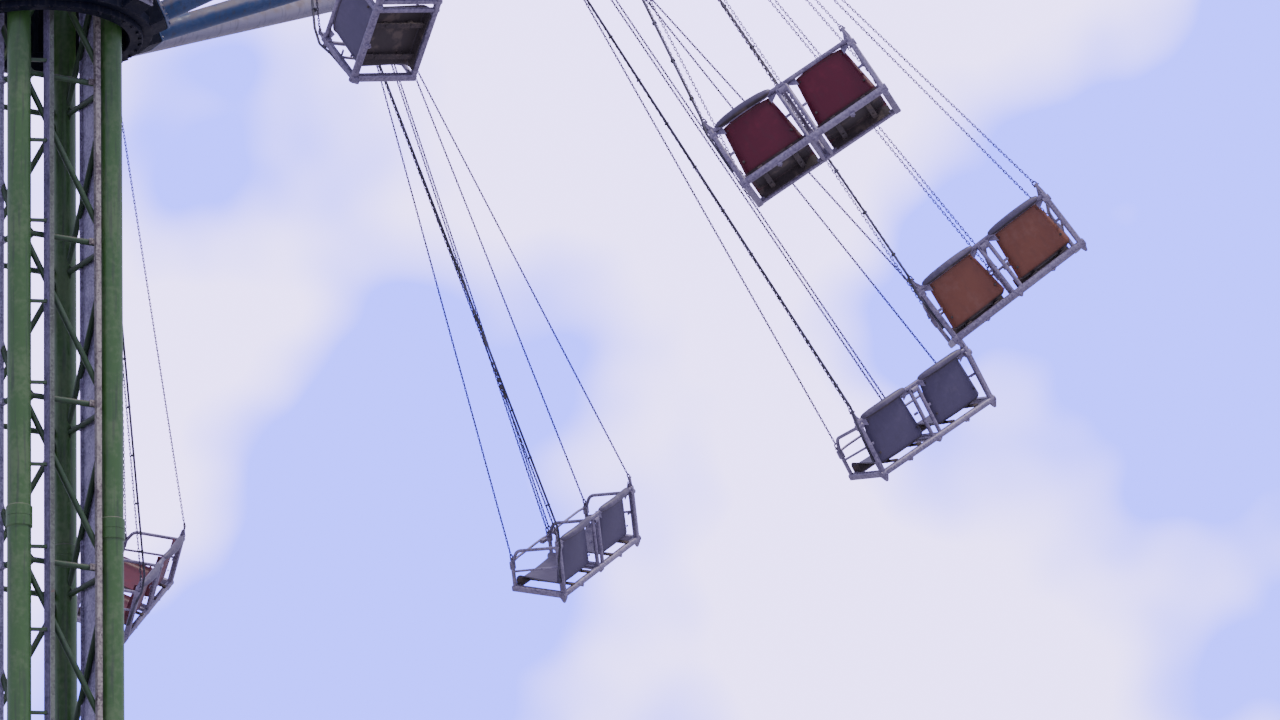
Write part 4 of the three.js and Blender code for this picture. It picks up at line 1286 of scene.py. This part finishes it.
def rails_and_arms(chair):
    """The top rail, three armrests bent over from the front posts, and a lap bar before each seat."""
    tube(chair, [at(-HALF, REAR, TOP_RAIL_Z), at(HALF, REAR, TOP_RAIL_Z)], TOP_RAIL, 18)
    for u in (-HALF, 0, HALF):
        elbow = at(u, FRONT - ELBOW_BACK, ELBOW_Z)
        corners = [at(u, FRONT, FRONT_POST_Z - ARMREST_SINK), elbow, at(u, REAR, ARMREST_REAR)]
        tube(chair, bent(corners, ELBOW_BEND, 10), ARMREST, 18)
        sleeve = [(ARMREST_SLEEVE, -ARMREST_SLEEVE_HALF), (ARMREST_SLEEVE, ARMREST_SLEEVE_HALF)]
        turned(chair, sleeve, placed(at(u, REAR, ARMREST_REAR), ACROSS, UP), 20)
    for way in (-1, 1):
        lap = [at(way * LAP_INNER, FRONT, LAP_END_Z), at(way * LAP_KNEE, FRONT + LAP_AHEAD, LAP_Z)]
        lap += [at(way * (HALF - LAP_KNEE), FRONT + LAP_AHEAD, LAP_Z), at(way * HALF, FRONT, LAP_END_Z)]
        tube(chair, bent(lap, LAP_BEND), LAP_BAR, 14)
        lock = [at(way * end, FRONT, LAP_LOCK_Z) for end in LAP_LOCK_ENDS]
        bar(chair, *lock, LAP_LOCK_WIDE, LAP_LOCK_TALL, UP, edge=0.004)


def feet(chair):
    """Pointed feet under the rear corners and a blunt one in the middle."""
    for u, deep in ((-HALF, CORNER_FOOT), (0, MIDDLE_FOOT), (HALF, CORNER_FOOT)):
        rings = []
        for drop, half in (*FOOT_HEAD, (deep - FOOT_TIP, FOOT_TOE), (deep, FOOT_TIP)):
            corners = ((half, half), (-half, half), (-half, -half), (half, -half))
            rings.append([at(u + x, REAR + y * 0.9, -drop) for x, y in corners])
        skin(chair, rings)


def hanger(shape):
    """The swivel with its shank, and the spreader bar with an eye for each chain."""
    shank = [(SHANK_RADIUS, -SPREADER_DROP), (SHANK_RADIUS, SHANK_TOP), (SWIVEL_RADIUS, SWIVEL_LOW)]
    shank += [(SWIVEL_RADIUS, SWIVEL_TOP - 2 * SWIVEL_EDGE), (SWIVEL_NECK, SWIVEL_TOP - SWIVEL_EDGE)]
    turned(shape, shank, Matrix.Identity(4), 24)
    drop = -SPREADER_DROP
    end = SPREADER_HALF + SPREADER_PAST
    shoulder = end - SPREADER_EDGE
    path = [at(u, 0, drop) for u in (-end, -shoulder, shoulder, end)]
    narrow = SPREADER_RADIUS - SPREADER_EDGE
    tube(shape, path, [narrow, SPREADER_RADIUS, SPREADER_RADIUS, narrow], 20)
    for u in (-SPREADER_HALF, 0, SPREADER_HALF):
        foot = placed(at(u, 0, drop - SPREADER_LUG_SINK), AHEAD, ACROSS)
        lug(shape, foot, SPREADER_LUG_TALL, SMALL_LUG_HALF, SMALL_LUG_THICK)


chair = Shape()
floor_frame(chair)
end_posts(chair)
middle_post(chair)
brackets(chair)
rails_and_arms(chair)
feet(chair)
chair.move(CHAIR_SET)
hanger(chair)
chair_mesh = meshed("chair_tubes", chair, chair_zinc)

eye = Shape()
on_pin = placed(Vector(), AHEAD, UP)
pin_half = CHEEK_GAP / 2 - TOUCH_GAP
turned(eye, [(EYE_RADIUS, -EYE_HALF), (EYE_RADIUS, EYE_HALF)], on_pin, 28)
turned(eye, [(PIN_RADIUS, -pin_half), (PIN_RADIUS, pin_half)], on_pin, 24)
neck = [(SWIVEL_NECK, SWIVEL_TOP), (NECK_FOOT, SWIVEL_TOP + 2 * SWIVEL_EDGE), (NECK_HEAD, NECK_TOP)]
turned(eye, neck, Matrix.Identity(4), 24)
eye_mesh = meshed("hanger_eye", eye, chair_zinc)


def hanging(number_of_chair):
    """The frame of a hanger: its origin at the pin, Z up the chains, X outwards."""
    name = f"chair_{number_of_chair:02d}_swing"
    out = heading(number_of_chair)
    swing = -radians(joints[name]["range_deg"][0])
    turn = Matrix.Rotation(atan2(out.y, out.x), 4, "Z") @ Matrix.Rotation(-swing, 4, "Y")
    return Matrix.Translation(pin(number_of_chair)) @ turn


def swivelled(number_of_chair):
    """The same frame, turned as the chair stands on its swivel."""
    return hanging(number_of_chair) @ Matrix.Rotation(radians(TWISTS[number_of_chair - 1]), 4, "Z")


def on_each_chair(ending, mesh, place_of=swivelled, stands_for=()):
    """Puts one mesh on every chair: ending is what the piece's name has after the chair's."""
    for number_of_chair in range(1, ARMS + 1):
        name = f"chair_{number_of_chair:02d}"
        nodes = [name + node_ending for node_ending in stands_for]
        fit(name + ending, mesh, name, nodes, place_of(number_of_chair))


on_each_chair("_tubes", chair_mesh, stands_for=("_frame",))
on_each_chair("_hanger_eye", eye_mesh, hanging)

# Chains
# Each chair hangs from its spreader on six short-link chains: one to each rear lug, one to each front
# corner and two side by side to the middle of the front. A shackle pins each end.
LINK_PITCH = 0.030
LINK_WIRE = 0.0042
LINK_HALF_WIDE = 0.0062
UPPER_SHACKLE = 0.04
LOWER_SHACKLE = 0.044
UPPER_START = 0.034
LOWER_START = 0.036
PAIR_HALF = 0.017
REAR_LUG_EYE = 0.018
FRONT_LUG_EYE = 0.022
SPREADER_LUG_EYE = 0.045
CHAIN_STEEL = (0.105, 0.095, 0.13, 1.0)
CHAIN_DARK = (0.035, 0.03, 0.05, 1.0)
chain_zinc = galvanised("chain_zinc", CHAIN_STEEL, CHAIN_DARK, size=3.0, rust=0.6, metal=0.4, rough=0.5)


def link_loop(long, half_wide):
    """The centre line of one link in XZ: a straight either side and a point at each end."""
    straight = long / 2 - half_wide
    return [
        Vector((half_wide, 0, straight)),
        Vector((0, 0, long / 2)),
        Vector((-half_wide, 0, straight)),
        Vector((-half_wide, 0, -straight)),
        Vector((0, 0, -long / 2)),
        Vector((half_wide, 0, -straight)),
    ]


def shackle(shape, place, size):
    """A bow shackle hanging from the place's origin down its Z, its pin across."""
    half = size * 0.34
    bow = [Vector((-half, 0, 0)), Vector((-half, 0, size * 0.6))]
    for a in (pi * 0.75, pi * 0.5, pi * 0.25):
        bow.append(Vector((half * cos(a), 0, size * 0.6 + half * sin(a))))
    bow += [Vector((half, 0, size * 0.6)), Vector((half, 0, 0))]
    tube(shape, [place @ point for point in bow], size * 0.13, 8)
    tube(shape, [place @ Vector((-half * 1.6, 0, 0)), place @ Vector((half * 1.6, 0, 0))], size * 0.15, 8)


def chain(shape, start, end):
    """A taut chain between two lugs, its links turned by a quarter from one to the next."""
    run = (end - start).normalized()
    shackle(shape, placed(start, run, ACROSS), UPPER_SHACKLE)
    shackle(shape, placed(end, -run, ACROSS), LOWER_SHACKLE)
    first = start + run * UPPER_START
    last = end - run * LOWER_START
    count = round((last - first).length / LINK_PITCH)
    loop = link_loop(LINK_PITCH + 2.4 * LINK_WIRE, LINK_HALF_WIDE)
    for index in range(count):
        spot = first.lerp(last, (index + 0.5) / count)
        side = AHEAD if index % 2 else ACROSS
        place = placed(spot, run, side)
        tube(shape, [place @ point for point in loop], LINK_WIRE, 3, closed=True)


def on_chair(u, v, w):
    """The same point of a chair, seen from the pin that it hangs on."""
    return CHAIR_SET @ at(u, v, w)


rear_lug_z = LUG_Z - REAR_LUG_EYE
front_lug_z = FRONT_POST_Z + FRONT_LUG_EYE
chains = Shape()
eye_drop = -SPREADER_DROP - SPREADER_LUG_EYE
chain_ends = [
    (-SPREADER_HALF, -HALF, REAR, rear_lug_z),
    (-SPREADER_HALF, -HALF, FRONT, front_lug_z),
    (-PAIR_HALF, -PAIR_HALF, FRONT, front_lug_z),
    (PAIR_HALF, PAIR_HALF, FRONT, front_lug_z),
    (SPREADER_HALF, HALF, REAR, rear_lug_z),
    (SPREADER_HALF, HALF, FRONT, front_lug_z),
]
for spread, u, v, w in chain_ends:
    chain(chains, Vector((spread, 0, eye_drop)), on_chair(u, v, w))
on_each_chair("_chains", meshed("chair_chains", chains, chain_zinc))

# Safety cable
# A black sheathed cable is strapped along one rear chain, from the hanger's shank down to the lap bar lock.
# It hangs in a small slack loop behind the post there.
CABLE_RADIUS = 0.0095
CABLE_AWAY = 0.018
STRAP_STEP = 0.42
STRAP_RADIUS = 0.019
STRAP_HALF = 0.006
cable = Shape()
top = Vector((-0.02, 0, SWIVEL_TOP - 0.05))
upper = Vector((-SPREADER_HALF - 0.008, -CABLE_AWAY, eye_drop - 0.04))
lower = on_chair(-HALF, REAR - CABLE_AWAY, rear_lug_z + 0.05)
loop_out = on_chair(-HALF - 0.032, REAR - 0.04, 0.46)
post_top = on_chair(-HALF - 0.030, REAR - 0.01, 0.33)
post_low = on_chair(-HALF - 0.030, REAR + 0.005, 0.12)
route = [top, at(-0.1, -0.03, -0.33), upper, lower, loop_out, post_top, post_low]
tube(cable, bent(route, 0.08, 6), CABLE_RADIUS, 10)
strap_run = lower - upper
straps = int(strap_run.length / STRAP_STEP)
for step in range(straps):
    spot = upper.lerp(lower, (step + 0.5) / straps) + Vector((0, CABLE_AWAY * 0.45, 0))
    strap = [(STRAP_RADIUS, -STRAP_HALF), (STRAP_RADIUS, STRAP_HALF)]
    turned(cable, strap, placed(spot, strap_run, ACROSS), 10)
on_each_chair("_cable", meshed("chair_cable", cable, cable_black))

# Seats
# Each seat is one moulded shell of glass-fibre plastic, pan and back together, bowed to the rear, narrower
# at the top and with its rims turned up. It stands on two flat bars that run from rear to front under it.
# A bowed pad lies along the top rail above it, and is taken off on three seats.
SHELL_THICK = 0.006
SHELL_INSET = 0.023
SHELL_BEND = 0.024
SHELL_STEP = 0.03
LIP_LEAN = 0.001
LIP_RISE = 0.004
DIP = 0.008
DIP_V = 0.02
HEEL_DIP = 0.018
HEEL_AHEAD = 0.012
BACK_V = -0.198
BACK_LEAN = 0.006
BACK_BOLTS = (0.415, 0.15)
BACK_BOLT = 0.009
BACK_BOLT_INSET = 0.035
BACK_BOLT_AHEAD = 0.030
BACK_BOW = 0.026
PAN_BOW = 0.008
RIM = 0.026
RIM_FROM = 0.8
LIP = 0.009
FRONT_DROP = 0.086
ROLL_RADIUS = 0.030
ROLL_HALF = 0.238
ROLL_BOW = 0.028
ROLL_RISE = 0.005
ROLL_Z = TOP_RAIL_Z + 0.012
ROLL_SWELL = ((-1.0, 0.35), (-0.96, 0.62), (-0.85, 0.85), (-0.6, 1.0), (-0.3, 1.03), (0.0, 1.05))
BEARER_AWAY = 0.13
BEARER_WIDE = 0.04
BEARER_THICK = 0.013
BEARER_LAP = 0.01
BEARER_REAR_Z = 0.0335
BEARER_FRONT_Z = 0.026
BEARER_BOLT = 0.010
BEARER_BOLT_SINK = 0.001
BEARER_PADS = ((-0.1, 0.025, 0.057), (0.1, 0.022, 0.067))
BARE_SEATS = {"chair_10": (-1, 1), "chair_11": (1,)}
SEAT_COLOURS = {
    "seat_red": ((0.084, 0.003, 0.018, 1.0), (0.113, 0.007, 0.025, 1.0)),
    "seat_orange": ((0.188, 0.070, 0.043, 1.0), (0.212, 0.092, 0.063, 1.0)),
    "seat_grey": ((0.074, 0.064, 0.120, 1.0), (0.098, 0.086, 0.146, 1.0)),
}
ROLL_GREY = (0.085, 0.075, 0.125, 1.0)
ROLL_PALE = (0.14, 0.125, 0.185, 1.0)
# The dark brown of the seats' undersides and bearers is painted shade, with patches of dust.
UNDERSIDE_SHADE = (0.050, 0.042, 0.044, 1.0)
UNDERSIDE_SHADE_DUST = (0.105, 0.085, 0.075, 1.0)


def underside_shade_and_grime():
    """How much a surface faces down or is the back of a front lip, as a mask of painted shade, and the patches of
    dry dust there.
    """
    tree, takes, gives = tree_of("underside_shade_and_grime", {"Size": 1.0}, ("Shade", "Dust"))
    coords = node(tree, "ShaderNodeTexCoord").outputs
    faces = node(tree, "ShaderNodeSeparateXYZ", {0: coords["Normal"]}).outputs
    down = share(tree, product(tree, faces["Z"], -1.0), 0.55, 0.92)
    back = share(tree, product(tree, faces["Y"], -1.0), 0.5, 0.8)
    ahead = share(tree, node(tree, "ShaderNodeSeparateXYZ", {0: coords["Object"]}).outputs["Y"], 0.0, 0.1)
    shaded_under = number(tree, "MAXIMUM", down, product(tree, back, ahead))
    cloud = noise(tree, coords["Object"], product(tree, takes["Size"], 9.0), 4.0, 0.6)
    feed(tree, gives, {"Shade": shaded_under, "Dust": share(tree, cloud, 0.50, 0.66)})
    return tree


UNDERSIDE_SHADE_AND_GRIME = underside_shade_and_grime()


def moulded(name, colour, faded):
    """Moulded plastic, faded unevenly, scuffed and streaked with grime, with painted shade in dark brown
    underneath and dust in it.
    """
    material, tree, surface = finish_of(name)
    weather = grouped(tree, WEATHERING, Size=0.9)
    bare = grouped(tree, EDGE_WEAR, Reach=0.004, Amount=0.12)["Wear"]
    shade_and_grime = grouped(tree, UNDERSIDE_SHADE_AND_GRIME)
    tone = mixed(tree, weather["Dirt"], colour, faded)
    tone = mixed(tree, product(tree, weather["Runs"], 0.12), tone, DIRT)
    tone = mixed(tree, bare, tone, DUST)
    shade_brown = mixed(tree, shade_and_grime["Dust"], UNDERSIDE_SHADE, UNDERSIDE_SHADE_DUST)
    rough = total(tree, product(tree, weather["Dirt"], 0.12), 0.42)
    feeds = {
        "Base Color": mixed(tree, shade_and_grime["Shade"], tone, shade_brown),
        "Roughness": total(tree, rough, product(tree, shade_and_grime["Shade"], 0.3)),
        "Specular IOR Level": 0.35,
        "Normal": bumped(tree, weather["Grain"], 0.2),
    }
    feed(tree, surface, feeds)
    return material


def seat_profile():
    """The middle line of the sitting side, from the front lip to the top of the back."""
    front = FRONT - SHELL_INSET
    lip = [at(0, front - LIP_LEAN, PAN_Z - FRONT_DROP), at(0, front, PAN_Z + LIP_RISE)]
    pan = [at(0, DIP_V, PAN_Z - DIP), at(0, BACK_V + HEEL_AHEAD, PAN_Z - HEEL_DIP)]
    path = bent(lip + pan + [at(0, BACK_V - BACK_LEAN, BACK_TOP)], SHELL_BEND, 6)
    fine = []
    for first, second in zip(path, path[1:]):
        pieces = max(1, round((second - first).length / SHELL_STEP))
        fine += [first.lerp(second, step / pieces) for step in range(pieces)]
    return fine + [path[-1]]


def shell(shape, middle_u, columns=20):
    """One seat shell of even thickness, its rims turned up towards the sitter."""
    line = seat_profile()
    inside = []
    outside = []
    for index, point in enumerate(line):
        run = (line[min(index + 1, len(line) - 1)] - line[max(index - 1, 0)]).normalized()
        facing = Vector((0, -run.z, run.y))
        half = seat_half(point.z)
        bow = PAN_BOW + (BACK_BOW - PAN_BOW) * up_the_back(point.z)
        row = []
        for column in range(columns + 1):
            part = 2 * column / columns - 1
            lift = max(0.0, (abs(part) - RIM_FROM) / (1 - RIM_FROM))
            crown = bow * (1 - part * part)
            row.append(point + ACROSS * (middle_u + part * half) - facing * (RIM * lift * lift - crown))
        inside.append(row)
        outside.append([spot + facing * SHELL_THICK for spot in row])
    wide = columns + 1
    rows = len(line)
    count = wide * rows
    points = [spot for row in inside for spot in row] + [spot for row in outside for spot in row]
    faces = []
    for row in range(rows - 1):
        for column in range(columns):
            a = row * wide + column
            faces.append([a, a + 1, a + wide + 1, a + wide])
            faces.append([count + a + wide, count + a + wide + 1, count + a + 1, count + a])
        for edge in (0, columns):
            a = row * wide + edge
            faces.append([a, a + wide, count + a + wide, count + a])
    for column in range(columns):
        for edge in (0, (rows - 1) * wide):
            a = edge + column
            faces.append([a, a + 1, count + a + 1, count + a])
    shape.add(points, faces)
    middle_of_edge = AHEAD * -SHELL_THICK / 2
    tube(shape, [spot + middle_of_edge for spot in inside[-1]], LIP, 8)


def roll(shape, middle_u):
    """The bowed pad above one seat: full in its middle and drawn in to its ends."""
    path = []
    sizes = []
    for part, size in ROLL_SWELL:
        bow = 1 - part * part
        path.append(at(middle_u + part * ROLL_HALF, REAR - ROLL_BOW * bow, ROLL_Z + ROLL_RISE * bow))
        sizes.append(ROLL_RADIUS * size)
    mirrored = [at(2 * middle_u - spot.x, spot.y, spot.z) for spot in path[-2::-1]]
    tube(shape, path + mirrored, sizes + sizes[-2::-1], 20)


def corner_bolts(shape, middle_u):
    """Two bolts through the top corners of a back, and two low down."""
    for w in BACK_BOLTS:
        for side in (-1, 1):
            u = middle_u + side * (seat_half(w) - BACK_BOLT_INSET)
            bolt(shape, placed(at(u, REAR + BACK_BOLT_AHEAD, w), -AHEAD, ACROSS), BACK_BOLT)


roll_plastic = moulded("roll_plastic", ROLL_GREY, ROLL_PALE)
# The bearers take the dark underside colour: painted shade under the seats.
bearer_shade = painted("bearer_shade_paint", UNDERSIDE_SHADE, UNDERSIDE_SHADE_DUST, 0.6, size=2.0, shine=0.2)
shells = {slot: moulded(slot + "_shell", *colours) for slot, colours in SEAT_COLOURS.items()}
seat_slots = {part["node"]: part["material_slot"] for part in frame["record"]["subparts"]}
seats = Shape()
bearers = Shape()
rolls = {-1: Shape(), 1: Shape()}
for way in (-1, 1):
    shell(seats, way * SEAT_MIDDLE)
    roll(rolls[way], way * SEAT_MIDDLE)
    corner_bolts(bearers, way * SEAT_MIDDLE)
    for side in (-1, 1):
        u = way * SEAT_MIDDLE + side * BEARER_AWAY
        rear_end = at(u, REAR - BEARER_LAP, BEARER_REAR_Z)
        front_end = at(u, FRONT + BEARER_LAP, BEARER_FRONT_Z)
        bar(bearers, rear_end, front_end, BEARER_WIDE, BEARER_THICK, ACROSS, edge=0.002)
        for v, low, high in BEARER_PADS:
            near = at(u, v - BEARER_WIDE / 2, (low + high) / 2)
            far = at(u, v + BEARER_WIDE / 2, (low + high) / 2)
            bar(bearers, near, far, BEARER_WIDE, high - low, ACROSS, edge=0.002)
            bolt(bearers, placed(at(u, v, low + BEARER_BOLT_SINK), -UP, ACROSS), BEARER_BOLT)
for shape in (seats, bearers, *rolls.values()):
    shape.move(CHAIR_SET)
seat_meshes = {slot: meshed(slot, seats, material) for slot, material in shells.items()}
on_each_chair("_bearers", meshed("chair_bearers", bearers, bearer_shade))
roll_meshes = {}
for index, way in enumerate((-1, 1), 1):
    roll_meshes[way] = meshed(f"seat_roll_{index}", rolls[way], roll_plastic)
for number_of_chair in range(1, ARMS + 1):
    name = f"chair_{number_of_chair:02d}"
    slot = seat_slots[name + "_seats"]
    place = swivelled(number_of_chair)
    fit(name + "_shells", seat_meshes[slot], name, [name + "_seats"], place)
    for index, way in enumerate((-1, 1), 1):
        if way not in BARE_SEATS.get(name, ()):
            fit(f"{name}_roll_{index}", roll_meshes[way], name, place=place)
